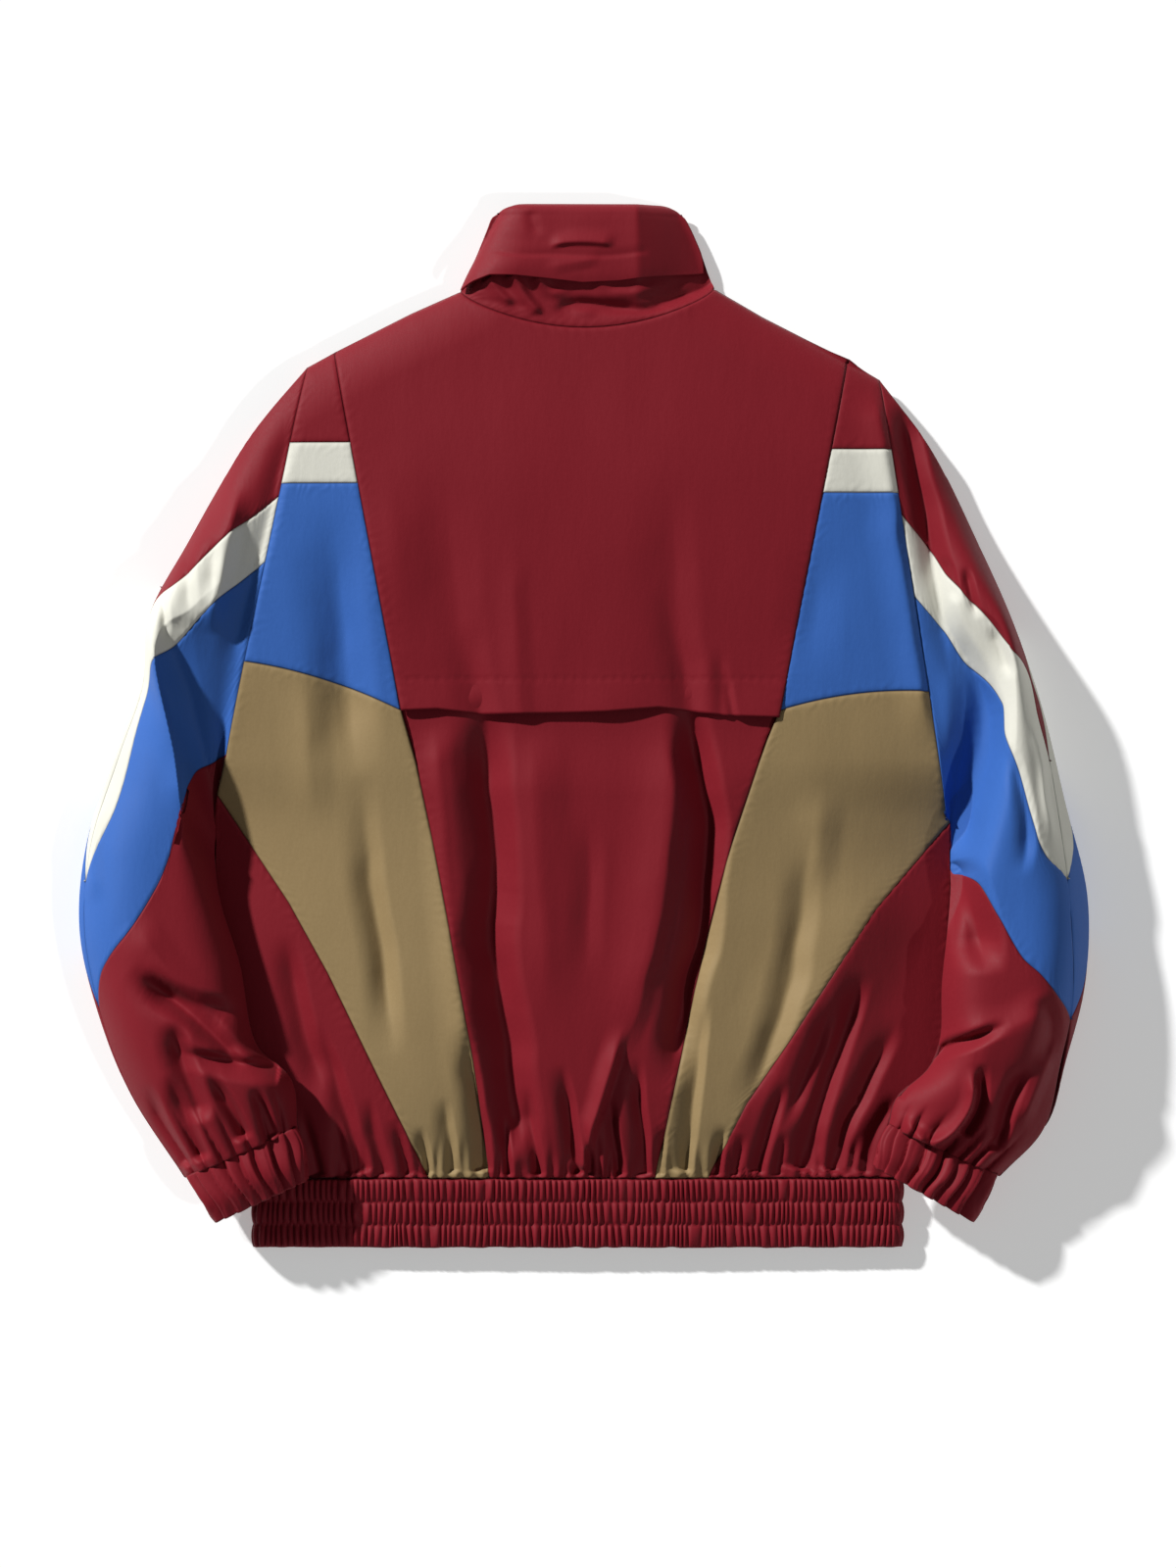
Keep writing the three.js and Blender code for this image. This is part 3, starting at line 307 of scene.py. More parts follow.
def neckPoint(share):
    x = mix(neckEnds[0], neckEnds[1], share)
    dip = neckDip * np.sin(math.pi * np.clip(share, 0, 1)) ** 0.7
    return np.stack([x, neckSeamY + 2 * share - dip], axis=-1)


# The sleeves, from the armhole seam to the cuff seam. inner runs under the arm and outer over it
# crest is where the tube is highest, as a share of its width, and larger powers make a side boxier
sleeveColumns = ("innerX innerY outerX outerY crown innerEdge outerEdge innerFloor outerFloor seam "
                 "crest innerPower outerPower")
leftSleeve = table(
    sleeveColumns,
    (-264, -24, -204, 265, 34, 11, 9, 0, 0, 1, 0.5, 1.8, 2.4),
    (-267, -36, -249, 209, 42, 11, 12, 0, 0, 1, 0.6, 1.4, 2.6),
    (-269, -50, -292, 135, 49, 11, 15, 0, 0, 1, 0.74, 0.9, 2.8),
    (-270.2, -64, -320, 82, 48, 11, 17, 1, 0, 1, 0.84, 0.6, 2.6),
    (-270.8, -80, -325, 32, 46, 12, 17, 4, 0, 0.98, 0.5, 0.6, 2.8),
    (-271, -99, -344, -20, 47, 15, 18, 9, 0, 0.95, 0.3, 0.9, 3),
    (-266, -130, -365.5, -84, 50, 24, 18, 15, 0, 0.93, 0.4, 3.6, 3),
    (-252, -174, -371, -149, 54, 27, 18, 18, 0, 0.93, 0.45, 4.2, 3),
    (-241, -230, -356.5, -213, 59, 30, 18, 21, 0, 0.96, 0.42, 4.6, 3),
    (-214, -258, -332.5, -271, 60, 33, 20, 24, 4, 0.99, 0.42, 4, 3),
    (-209, -294, -293, -331, 51, 34, 25, 26, 14, 1, 0.5, 3.4, 3.4),
)
rightSleeve = table(
    sleeveColumns,
    (267, -66, 217.5, 256, 34, 11, 9, 0, 0, 1, 0.5, 2.2, 2.4),
    (268.4, -78, 258, 200, 42, 11, 12, 0, 0, 1, 0.6, 1.6, 2.4),
    (268.9, -89, 291, 133, 51, 11, 15, 0, 0, 1, 0.8, 0.9, 2.6),
    (269.2, -101, 316, 76, 57, 11, 17, 3, 0, 0.98, 0.88, 0.75, 2.8),
    (269.4, -121, 337, 14, 62, 16, 18, 9, 0, 0.92, 0.66, 1.6, 3),
    (266, -153, 354, -56, 63, 28, 18, 15, 0, 0.84, 0.56, 4.4, 3),
    (262, -190, 370, -123, 64, 31, 18, 18, 0, 0.72, 0.5, 5, 3.1),
    (261, -226, 368.5, -188, 65, 31, 18, 21, 0, 0.8, 0.48, 4.4, 3),
    (252, -250, 354, -246, 63, 32, 19, 23, 2, 0.95, 0.46, 3.4, 2.8),
    (229, -271, 339, -295, 55, 33, 22, 25, 8, 1, 0.48, 3.4, 3),
    (222, -292, 305, -330, 46, 34, 25, 26, 14, 1, 0.5, 3.4, 3.4),
)
cuffColumns = "innerX innerY outerX outerY crown innerEdge outerEdge innerFloor outerFloor"
leftCuff = table(
    cuffColumns,
    (-210, -292, -292.5, -329, 48.6, 34, 25, 26, 14),
    (-204, -314, -280, -348, 49, 35, 27, 26, 16),
    (-201, -331, -270, -363, 45, 34, 27, 26, 17),
)
rightCuff = table(
    cuffColumns,
    (223, -290, 304.4, -328, 43.6, 34, 25, 26, 14),
    (216, -308, 295, -347, 45, 35, 27, 26, 16),
    (211, -321, 286, -363, 42, 34, 27, 26, 17),
)
leftSleeveFolds = [
    ([(-250, 180), (-259, 138), (-267, 102), (-274, 66)], 12, 8, 7),
    ([(-212, 235), (-226, 180), (-238, 130), (-250, 80), (-258, 40)], 10, 7, -3),
    ([(-294, 132), (-290, 108), (-288, 78)], 9, 6, -5, 0.4, 0.4),
    ([(-310, 104), (-306, 84), (-306, 62)], 5, 4, -5, 0.4, 0.4),
    ([(-270, 140), (-271, 118), (-272, 92)], 8, 6, -4, 0.4, 0.4),
    ([(-322, 92), (-316, 62), (-306, 30), (-297, -4), (-290, -40), (-287, -74)], 16, 11, 8, 0.3, 0.2),
    ([(-332, -176), (-312, -190), (-290, -200), (-262, -208), (-246, -222)], 16, 9, -9, 0.35, 0.3),
    ([(-322, -180), (-305, -198), (-282, -214), (-262, -232), (-246, -249)], 9, 9, -11, 0.3, 0.2),
    ([(-330, -140), (-306, -176), (-284, -202), (-262, -214)], 22, 14, 4),
    ([(-222, -249), (-246, -246), (-272, -241), (-304, -236)], 6, 10, -10, 0.02, 0.5),
    ([(-300, -214), (-296, -236), (-286, -262), (-278, -290)], 12, 9, -10, 0.3, 0.2),
    ([(-274, -250), (-262, -272), (-246, -302)], 9, 6, -9, 0.4, 0.1),
    ([(-304, -252), (-290, -285), (-276, -318)], 10, 6, -8, 0.4, 0.1),
    ([(-242, -262), (-232, -280), (-224, -300)], 6, 5, -7, 0.4, 0.1),
    ([(-322, -258), (-306, -294), (-290, -324)], 9, 6, -6, 0.4, 0.1),
    ([(-356, -50), (-361, -90), (-356, -130)], 10, 8, 3),
]
rightSleeveFolds = [
    ([(212, 250), (222, 190), (232, 120), (243, 50), (253, -20)], 16, 5, 4, 0.1, 0.2),
    ([(232, 240), (245, 185), (257, 120), (264, 70), (268, 20)], 12, 9, -12, 0.15, 0.5),
    ([(252, 108), (268, 72), (288, 34), (298, 4), (294, -30), (284, -66), (275, -98)], 28, 9, -15, 0.3, 0.15),
    ([(262, 126), (268, 108), (272, 88)], 5, 4, -3.5, 0.3, 0.3),
    ([(276, 118), (282, 100), (288, 78)], 5, 4, -4, 0.3, 0.3),
    ([(296, 76), (304, 56), (312, 34)], 6, 4, -3.5, 0.3, 0.3),
    ([(306, -10), (316, -40), (322, -70), (318, -110)], 8, 6, -5, 0.3, 0.3),
    ([(326, 10), (334, -30), (338, -66), (344, -92)], 5, 4, 4, 0.3, 0.3),
    ([(270, -98), (279, -124), (287, -152), (289, -182)], 22, 14, -20, 0.15, 0.35),
    ([(352, -196), (326, -214), (296, -224), (264, -220)], 16, 26, 6, 0.3, 0.3),
    ([(330, -196), (340, -216), (334, -250)], 10, 8, -7, 0.3, 0.3),
    ([(310, -214), (282, -228), (257, -238), (240, -252), (226, -270)], 6, 6, -12, 0.3, 0.03),
    ([(284, -246), (282, -272), (268, -296), (250, -302), (238, -292), (234, -280)], 7, 7, 8, 0.2, 0.2),
    ([(290, -244), (288, -276), (276, -300)], 6, 5, -9, 0.3, 0.1),
    ([(322, -246), (310, -276), (300, -312)], 9, 6, -8, 0.3, 0.1),
    ([(345, -225), (332, -260), (318, -296)], 8, 6, 5, 0.3, 0.3),
]

leftSeams = {
    "cap": [(-225, 169), (-249, 149), (-280, 122), (-302, 103), (-320, 81)],
    "stripe": [(-234, 121), (-255, 103), (-281, 79), (-302, 57), (-317, 42), (-324, 14), (-335, -30),
               (-346, -65), (-359, -116)],
    "elbow": [(-263, -20), (-276, -28), (-289, -42), (-293, -62), (-299, -84), (-307, -107), (-318, -128),
              (-332, -149), (-347, -168), (-354, -181), (-356, -206)],
}
rightSeams = {
    "cap": [(238, 148), (251, 134), (266, 110), (294, 79), (310, 58), (326, 37), (332, 8), (341, -26)],
    "stripe": [(247, 88), (264, 70), (278, 49), (305, 17), (307, -7), (316, -32), (325, -64), (336, -93),
               (346, -117)],
    "elbow": [(269.4, -101), (286, -113), (301, -138), (318, -167), (332, -180), (346, -197), (353, -207),
              (358, -214)],
}


# Where the deep pleats of each cuff lie, as shares of its width from the inner end, and how deep they are
cuffPleats = {
    "left": table("at depth", (0, 2), (0.12, 3), (0.25, 5), (0.4, 3.6), (0.52, 2.4), (0.64, 4), (0.78, 2.6),
                  (0.9, 3), (1, 2)),
    "right": table("at depth", (0, 2), (0.1, 2.4), (0.2, 4.4), (0.34, 3.4), (0.5, 5), (0.62, 3), (0.73, 4.4),
                   (0.86, 3.4), (1, 2)),
}


# Puffed folds between pleats: 0 in a pleat, up to 1 between two of them, and the depth there
def pleated(pleats, share):
    count = np.arange(len(pleats["at"]))
    phase = np.interp(share, pleats["at"], count)
    depth = np.interp(share, pleats["at"], pleats["depth"])
    return np.abs(np.sin(math.pi * phase)) ** 0.7, depth


# A point of a sleeve or cuff. turn is 0 under the arm, pi over it and 2 pi back under
def sleevePoint(rows, creases, along, turn):
    share = (1 - np.cos(turn)) / 2
    at = {name: readCurve(rows, name, along) for name in rows}
    x = mix(at["innerX"], at["outerX"], share)
    y = mix(at["innerY"], at["outerY"], share)
    edge = mix(at["innerEdge"], at["outerEdge"], share)
    floor = np.maximum(0, mix(at["innerFloor"], at["outerFloor"], smooth(share / 0.7)))
    up = np.sin(turn)
    above = up >= 0
    bulge = np.maximum(up, 0) ** 0.85
    if "crest" in at:
        inner = 1 - (1 - np.clip(share / at["crest"], 0, 1)) ** at["innerPower"]
        outer = 1 - (1 - np.clip((1 - share) / (1 - at["crest"]), 0, 1)) ** at["outerPower"]
        bulge = np.where(share < at["crest"], inner, outer)
    high = edge + (at["crown"] - edge) * bulge
    own = smooth(along / 1.6) if creases else np.ones(x.shape)
    if creases:
        puff, depth = pleated(cuffPleats["left" if rows is leftSleeve else "right"], share)
        cuffGathers = 1.7 * (puff - 0.75) * depth * smooth((along - 8.9) / 1.1)
        folded = foldHeight(creases, x, y)
        high = high + (folded + cuffGathers + 0.5 * softNoise(x, y, 34, 3)) * smooth(up * 2)
        high = np.maximum(high, edge)
        high = mix(backHeight(x, y), high, own)
    low = edge - (edge - floor) * (1 - (1 + np.minimum(up, 0)) ** 3)
    low = np.maximum(floor, low - 0.1)
    if creases:
        low = mix(frontHeight(x, y), low, own)
    return np.stack([x, y, np.where(above, high, low)], axis=-1)


# Where a point seen from above lies on a sleeve, as (along, turn)
def onSleeve(rows, x, y):
    def offLine(along):
        ax, ay, bx, by = (readCurve(rows, n, along) for n in ("innerX", "innerY", "outerX", "outerY"))
        return (bx - ax) * (y - ay) - (by - ay) * (x - ax)
    low, high = 0.0, len(rows["innerX"]) - 1.0
    start = np.sign(offLine(high))
    for _ in range(40):
        middle = (low + high) / 2
        if np.sign(offLine(middle)) == start:
            high = middle
        else:
            low = middle
    along = 0.0 if low < 0.05 else low
    ax, ay, bx, by = (readCurve(rows, n, along) for n in ("innerX", "innerY", "outerX", "outerY"))
    share = np.clip(((x - ax) * (bx - ax) + (y - ay) * (by - ay)) / ((bx - ax) ** 2 + (by - ay) ** 2), 0, 1)
    return along, math.acos(1 - 2 * share)


# Materials. A wire is a shader socket that can be added to, multiplied and so on
class Wire:
    def __init__(self, tree, socket):
        self.tree = tree
        self.socket = socket

    def node(self, kind, settings=None, sockets=None, out=0):
        made = self.tree.nodes.new(kind)
        for key, value in (settings or {}).items():
            setattr(made, key, value)
        for key, value in (sockets or {}).items():
            if isinstance(value, Wire):
                self.tree.links.new(value.socket, made.inputs[key])
            else:
                made.inputs[key].default_value = value
        return Wire(self.tree, made.outputs[out])

    def maths(self, operation, *values):
        return self.node("ShaderNodeMath", {"operation": operation}, dict(enumerate(values)))

    def __add__(self, other):
        return self.maths("ADD", self, other)

    def __radd__(self, other):
        return self.maths("ADD", other, self)

    def __sub__(self, other):
        return self.maths("SUBTRACT", self, other)

    def __rsub__(self, other):
        return self.maths("SUBTRACT", other, self)

    def __mul__(self, other):
        return self.maths("MULTIPLY", self, other)

    def __rmul__(self, other):
        return self.maths("MULTIPLY", other, self)

    def __truediv__(self, other):
        return self.maths("DIVIDE", self, other)

    def __rtruediv__(self, other):
        return self.maths("DIVIDE", other, self)

    def __pow__(self, other):
        return self.maths("POWER", self, other)


def newMaterial(name):
    material = bpy.data.materials.new(name)
    material.use_nodes = True
    tree = material.node_tree
    shader = tree.nodes["Principled BSDF"]
    return material, Wire(tree, shader.outputs[0]), shader


clothLook = {
    "burgundy_cloth": {"light": (0.214, 0.0102, 0.0185), "dark": (0.182, 0.0083, 0.0152), "rough": 0.6},
    "cream_cloth": {"light": (0.69, 0.68, 0.6), "dark": (0.63, 0.62, 0.54), "rough": 0.66},
    "blue_cloth": {"light": (0.04, 0.132, 0.45), "dark": (0.033, 0.112, 0.39), "rough": 0.6},
    "khaki_cloth": {"light": (0.31, 0.22, 0.105), "dark": (0.26, 0.18, 0.082), "rough": 0.6},
}
weaveSize = 0.0011
seamLineDark = 0.55
clothGloss = {"Specular IOR Level": 0.14, "Sheen Weight": 0.02, "Sheen Roughness": 0.45}


# Woven cloth, with a fine twill, faint slubs, dark seam lines and puckers beside them
def clothMaterial(slotName):
    look = clothLook[slotName]
    material, start, shader = newMaterial(slotName.replace("_", "-"))
    cloth = start.node("ShaderNodeUVMap", {"uv_map": "cloth"})
    seam = start.node("ShaderNodeUVMap", {"uv_map": "seam"})
    split = start.node("ShaderNodeSeparateXYZ", sockets={0: cloth})
    across, down = split, Wire(start.tree, split.socket.node.outputs[1])
    seamSplit = start.node("ShaderNodeSeparateXYZ", sockets={0: seam})
    away = seamSplit
    turns = 2 * math.pi / weaveSize
    twill = start.maths("SINE", (across + down) * turns)
    cross = start.maths("SINE", (across - down) * turns)
    slub = start.node("ShaderNodeTexNoise", {"noise_dimensions": "2D"},
                      {"Vector": cloth, "Scale": 420.0, "Detail": 3.0, "Roughness": 0.6})
    cloud = start.node("ShaderNodeTexNoise", {"noise_dimensions": "2D"},
                       {"Vector": cloth, "Scale": 14.0, "Detail": 4.0, "Roughness": 0.55})
    drawn = start.node("ShaderNodeVectorMath", {"operation": "MULTIPLY"}, {0: cloth, 1: (1.0, 0.35, 1.0)})
    ripple = start.node("ShaderNodeTexNoise", {"noise_dimensions": "2D"},
                        {"Vector": drawn, "Scale": 70.0, "Detail": 5.0, "Roughness": 0.62})
    shade = twill * 0.05 + slub * 0.55 + cloud * 0.5 - 0.1
    line = start.maths("SMOOTH_MIN", away * 900.0, 1.0, 0.3)
    tone = start.node("ShaderNodeMix", {"data_type": "RGBA"},
                      {0: shade, 6: (*look["dark"], 1), 7: (*look["light"], 1)}, out=2)
    edged = start.node("ShaderNodeMix", {"data_type": "RGBA"},
                       {0: line, 6: tuple(seamLineDark * v for v in look["dark"]) + (1,), 7: tone}, out=2)
    height = twill * 0.12 + cross * 0.06 + slub * 0.25
    fine = start.node("ShaderNodeBump", sockets={"Strength": 0.25, "Distance": 0.0004, "Height": height})
    bump = start.node("ShaderNodeBump",
                      sockets={"Strength": 0.3, "Distance": 0.0009, "Height": ripple, "Normal": fine})
    rough = slub * 0.16 + (look["rough"] - 0.08)
    links = start.tree.links
    links.new(edged.socket, shader.inputs["Base Color"])
    links.new(bump.socket, shader.inputs["Normal"])
    links.new(rough.socket, shader.inputs["Roughness"])
    for socket, value in clothGloss.items():
        shader.inputs[socket].default_value = value
    return material


clothMaterials = {slotName: clothMaterial(slotName) for slotName in clothLook}
print("materials made")


# Makes a mesh object of four-sided faces from a list of points
def makeObject(name, points, faces, material, maps=None):
    mesh = bpy.data.meshes.new(name)
    mesh.vertices.add(len(points))
    mesh.vertices.foreach_set("co", (points * 0.001).astype(np.float32).ravel())
    mesh.loops.add(faces.size)
    mesh.loops.foreach_set("vertex_index", faces.astype(np.int32).ravel())
    mesh.polygons.add(len(faces))
    mesh.polygons.foreach_set("loop_start", np.arange(0, faces.size, faces.shape[1], dtype=np.int32))
    mesh.update(calc_edges=True)
    mesh.shade_smooth()
    for mapName, values in (maps or {}).items():
        layer = mesh.uv_layers.new(name=mapName)
        layer.data.foreach_set("uv", values[faces.ravel()].astype(np.float32).ravel())
    mesh.materials.append(material)
    made = bpy.data.objects.new(name, mesh)
    bpy.context.scene.collection.objects.link(made)
    return made


def gridFaces(rows, columns):
    i, j = np.meshgrid(np.arange(rows - 1), np.arange(columns - 1), indexing="ij")
    a = (i * columns + j).ravel()
    return np.stack([a, a + 1, a + columns + 1, a + columns], axis=1)


def gridNormals(grid):
    du = np.gradient(grid, axis=1)
    dv = np.gradient(grid, axis=0)
    normal = np.cross(du, dv)
    length = np.linalg.norm(normal, axis=2, keepdims=True)
    return normal / np.maximum(length, 1e-9)


# Lengths walked along a grid's rows or columns
def walked(grid, axis):
    step = np.linalg.norm(np.diff(grid, axis=axis), axis=2)
    pad = [(0, 0), (0, 0)]
    pad[axis] = (1, 0)
    return np.pad(np.cumsum(step, axis=axis), pad)


def gridArea(grid):
    a, b = grid[1:, 1:] - grid[:-1, :-1], grid[1:, :-1] - grid[:-1, 1:]
    return np.linalg.norm(np.cross(a, b), axis=2).sum() / 2


seamLook = {"groove": 0.7, "width": 1.5, "pucker": 0.22, "puckerPitch": 8.0, "lip": 1.6}


# Makes one sheet of cloth from a grid of points. facing is +1 where the outer face is up.
# open names the edges that are free: first, last, start or end
def addSheet(name, nodes, slotName, grid, facing, open=(), relief=1.0, uv=None):
    rows, columns = grid.shape[:2]
    runDown, runAcross = walked(grid, 0), walked(grid, 1)
    distances = {"first": runDown, "last": runDown[-1:] - runDown,
                 "start": runAcross, "end": runAcross[:, -1:] - runAcross}
    away = np.full((rows, columns), 60.0)
    along = np.zeros((rows, columns))
    for edge, distance in distances.items():
        if edge in open:
            continue
        nearer = distance < away
        away = np.where(nearer, distance, away)
        along = np.where(nearer, runAcross if edge in ("first", "last") else runDown, along)
    normal = gridNormals(grid)
    if np.sign(normal[rows // 2, columns // 2, 2]) != facing:
        normal = -normal
        flip = True
    else:
        flip = False
    groove = seamLook["groove"] * np.exp(-((away / seamLook["width"]) ** 2))
    wander = softNoise(along, away, 11, 8) * 1.5
    pucker = seamLook["pucker"] * np.sin(2 * math.pi * along / seamLook["puckerPitch"] + wander * 4)
    pucker = pucker * np.exp(-away / 5) * smooth(away / 1.5)
    level = np.abs(normal[..., 2])
    shaped = grid + normal * (relief * level * (pucker - groove))[..., None]
    lip = np.pad(shaped, ((1, 1), (1, 1), (0, 0)), mode="edge")
    lipNormal = np.pad(normal, ((1, 1), (1, 1), (0, 0)), mode="edge")
    ring = np.ones((rows + 2, columns + 2), bool)
    ring[1:-1, 1:-1] = False
    lip[ring] -= lipNormal[ring] * seamLook["lip"]
    if uv is None:
        uv = grid[..., :2]
    clothMap = np.pad(uv, ((1, 1), (1, 1), (0, 0)), mode="edge") * 0.001
    seamMap = np.pad(np.stack([away, along], axis=-1), ((1, 1), (1, 1), (0, 0)), mode="edge") * 0.001
    faces = gridFaces(rows + 2, columns + 2)
    if flip:
        faces = faces[:, ::-1]
    made = makeObject("cloth_" + name, lip.reshape(-1, 3), faces, clothMaterials[slotName],
                      {"cloth": clothMap.reshape(-1, 2), "seam": seamMap.reshape(-1, 2)})
    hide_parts(*nodes)
    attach(made, "root")
    length = runDown[-1].mean() * 0.001
    area = gridArea(grid) * 1e-6
    width = min(max(runAcross[:, -1].max() * 0.001, area / length), area / length / 0.35)
    min(area, width * length)
    return made


# Points between two lines, as a grid whose cells have about the given size
def between(first, second, size, bow=None, soft=True):
    corners = [np.array(line, float) for line in (first, second)]
    lengths = [np.linalg.norm(np.diff(line, axis=0), axis=1).sum() for line in corners]
    rows = int(max(lengths) / size) + 3
    a, b = smoothLine(first, rows, soft), smoothLine(second, rows, soft)
    columns = int(np.linalg.norm(a - b, axis=1).max() / size) + 3
    s = np.linspace(0, 1, columns)[None, :, None]
    grid = a[:, None, :] * (1 - s) + b[:, None, :] * s
    if bow is not None:
        rise = bow(np.linspace(0, 1, rows))[:, None]
        grid[..., 1] += rise * 4 * s[..., 0] * (1 - s[..., 0])
    return grid


def lift(plan, height):
    return np.concatenate([plan, height(plan[..., 0], plan[..., 1])[..., None]], axis=-1)


sides = {
    "left": {
        "shoulder": (-204, 265), "armpit": (-264, -24), "princessTop": (-184, 276),
        "princess": [(-134, 12), (-128, -9), (-123, -27), (-111, -84), (-95, -168), (-84, -229),
                     (-70, hemSeamY)],
        "creamTop": 208.5, "creamBottom": 178.5, "blueBottom": 48,
        "corner": (-270, -50), "diagonal": [(-217, -129), (-188, -181), (-150, -259), (-114, hemSeamY)],
        "sideSeam": [(-270.6, -54), (-272, -66), (-272.8, -100), (-271.6, -150), (-256, -290),
                     (-245, hemSeamY)],
    },
    "right": {
        "shoulder": (217.5, 256), "armpit": (267, -66), "princessTop": (194, 270),
        "princess": [(143, 12), (134, -10), (128, -27), (104, -99), (81, -193), (68, -258), (52, hemSeamY)],
        "creamTop": 203.5, "creamBottom": 171.5, "blueBottom": 26,
        "corner": (269.4, -70), "diagonal": [(214, -134), (156, -222), (119, -277), (91, hemSeamY)],
        "sideSeam": [(269.8, -74), (270.8, -100), (270.6, -126), (269.4, -150), (269, -180), (267, -228),
                     (251, -290), (237, hemSeamY)],
    },
}


def atY(a, b, y):
    return (mix(a[0], b[0], (y - a[1]) / (b[1] - a[1])), y)


# A line through points placed by their height, the same for both panels that meet on it
def princessLine(side, top, bottom):
    points = [side["princessTop"], *side["princess"]]
    inside = [p for p in points if bottom < p[1] < top]
    def at(y):
        for a, b in zip(points, points[1:]):
            if b[1] <= y <= a[1]:
                return atY(a, b, y)
        return points[-1]
    return [at(top), *inside, at(bottom)]


# The free edge of the yoke, over the back vent
ventEdge = table("x y", (-133, 12), (-107, 13), (-75, 9), (-45, 9.5), (-14, 10), (16, 11), (55, 14), (87, 10),
                 (105, 8), (140, 7))


# The row of stitches that holds the yoke's facing
topstitch = {"above": 25, "width": 1.2, "pitch": 7.2}


def buildBack():
    left, right = sides["left"], sides["right"]
    share = (1 - np.cos(np.linspace(0, math.pi, 25))) / 2
    top = [left["princessTop"], (-127, 305), *map(tuple, neckPoint(share)), (132, 302), right["princessTop"]]
    wide = right["princessTop"][0] - left["princessTop"][0]
    spread = (np.array(top)[:, 0] - left["princessTop"][0]) / wide
    columns = int(wide / cell["back"]) + 2
    s = np.linspace(0, 1, columns)
    topX = mix(left["princessTop"][0], right["princessTop"][0], s)
    topY = np.interp(s, spread, np.array(top)[:, 1])
    lowX = mix(left["princess"][0][0], right["princess"][0][0], s)
    lowY = np.interp(lowX, ventEdge["x"], ventEdge["y"])
    rows = int((270 - ventY) / cell["back"])
    t = np.linspace(0, 1, rows)[:, None]
    plan = np.stack([mix(topX, lowX, t), mix(topY, lowY, t)], axis=-1)
    def flap(x, y):
        toEdge = y - ventY
        drawnIn = foldHeight(ventFolds, x, y)
        stitched = 0.45 * np.exp(-((toEdge - topstitch["above"]) / topstitch["width"]) ** 2)
        stitched = stitched * (0.8 + 0.4 * np.sin(2 * math.pi * x / topstitch["pitch"]))
        wave = 1.2 * np.sin(x / 21 + 0.6) + 0.7 * np.sin(x / 9.3)
        lifted = 0.4 + (0.9 + wave * 0.5) * smooth(1 - toEdge / 34)
        return backHeight(x, np.maximum(y, ventY + 22)) + lifted + drawnIn - stitched
    addSheet("back_yoke", ["back_yoke"], "burgundy_cloth", lift(plan, flap), 1,
             open=("last",))
    tuck = ventY + 30
    first = princessLine(left, tuck, hemSeamY)
    second = princessLine(right, tuck, hemSeamY)
    first[0] = (first[0][0] + 1, first[0][1])
    second[0] = (second[0][0] - 1, second[0][1])
    def under(x, y):
        return backHeight(x, y) - 3.2 * smooth((y - ventY + 60) / 50)
    plan = between(first, second, cell["back"])
    addSheet("back_lower", ["back_lower"], "burgundy_cloth", lift(plan, under), 1,
             open=("first",))


def buildSideBack(name, side):
    def armhole(y):
        return atY(side["shoulder"], side["armpit"], y)
    def panel(piece, first, second, slotName, bow=None, soft=True):
        plan = between(first, second, cell["back"], bow, soft)
        label = name + "_back_" + piece
        addSheet(label, [label], slotName, lift(plan, backHeight), 1)
    top, low, last = side["creamTop"], side["creamBottom"], side["blueBottom"]
    panel("shoulder", [side["shoulder"], armhole(top)], princessLine(side, 400, top)[-2:], "burgundy_cloth")
    panel("stripe", [armhole(top), armhole(low)], princessLine(side, top, low), "cream_cloth")
    panel("blue", [armhole(low), armhole(last)], [princessLine(side, low, last)[0], side["princess"][0]],
          "blue_cloth", lambda t: 5 * t)
    edge = [armhole(last), side["armpit"], side["corner"], *side["diagonal"]]
    panel("khaki", edge, side["princess"], "khaki_cloth", lambda t: 5 * np.clip(1 - t * 6, 0, 1), False)
    panel("side", side["sideSeam"], [side["corner"], *side["diagonal"]], "burgundy_cloth", None, False)


def buildFront(name, side, sign):
    centre = zipX + sign * zipHalfWidth
    start = neckPoint(np.array(0.0 if sign < 0 else 1.0))
    outer = [tuple(start), side["shoulder"], side["armpit"], *side["sideSeam"]]
    share = (centre - neckEnds[0]) / (neckEnds[1] - neckEnds[0])
    neckEnd = neckPoint(np.array(share))
    reach = np.linspace(neckEnd[1], hemSeamY, len(outer))
    plan = between(outer, [(centre, y) for y in reach], cell["under"], None, False)
    x = plan[..., 0]
    shares = np.clip((x - neckEnds[0]) / (neckEnds[1] - neckEnds[0]), 0, 1)
    straight = mix(start[1], neckEnd[1], (x - start[0]) / (centre - start[0]))
    fade = np.clip(1 - np.linspace(0, 1, plan.shape[0])[:, None] * 6, 0, 1)
    plan[..., 1] += (neckPoint(shares)[..., 1] - 0.8 - straight) * fade * (np.abs(x - start[0]) < 120)
    addSheet(name + "_front", [name + "_front"], "burgundy_cloth", lift(plan, frontHeight), -1)


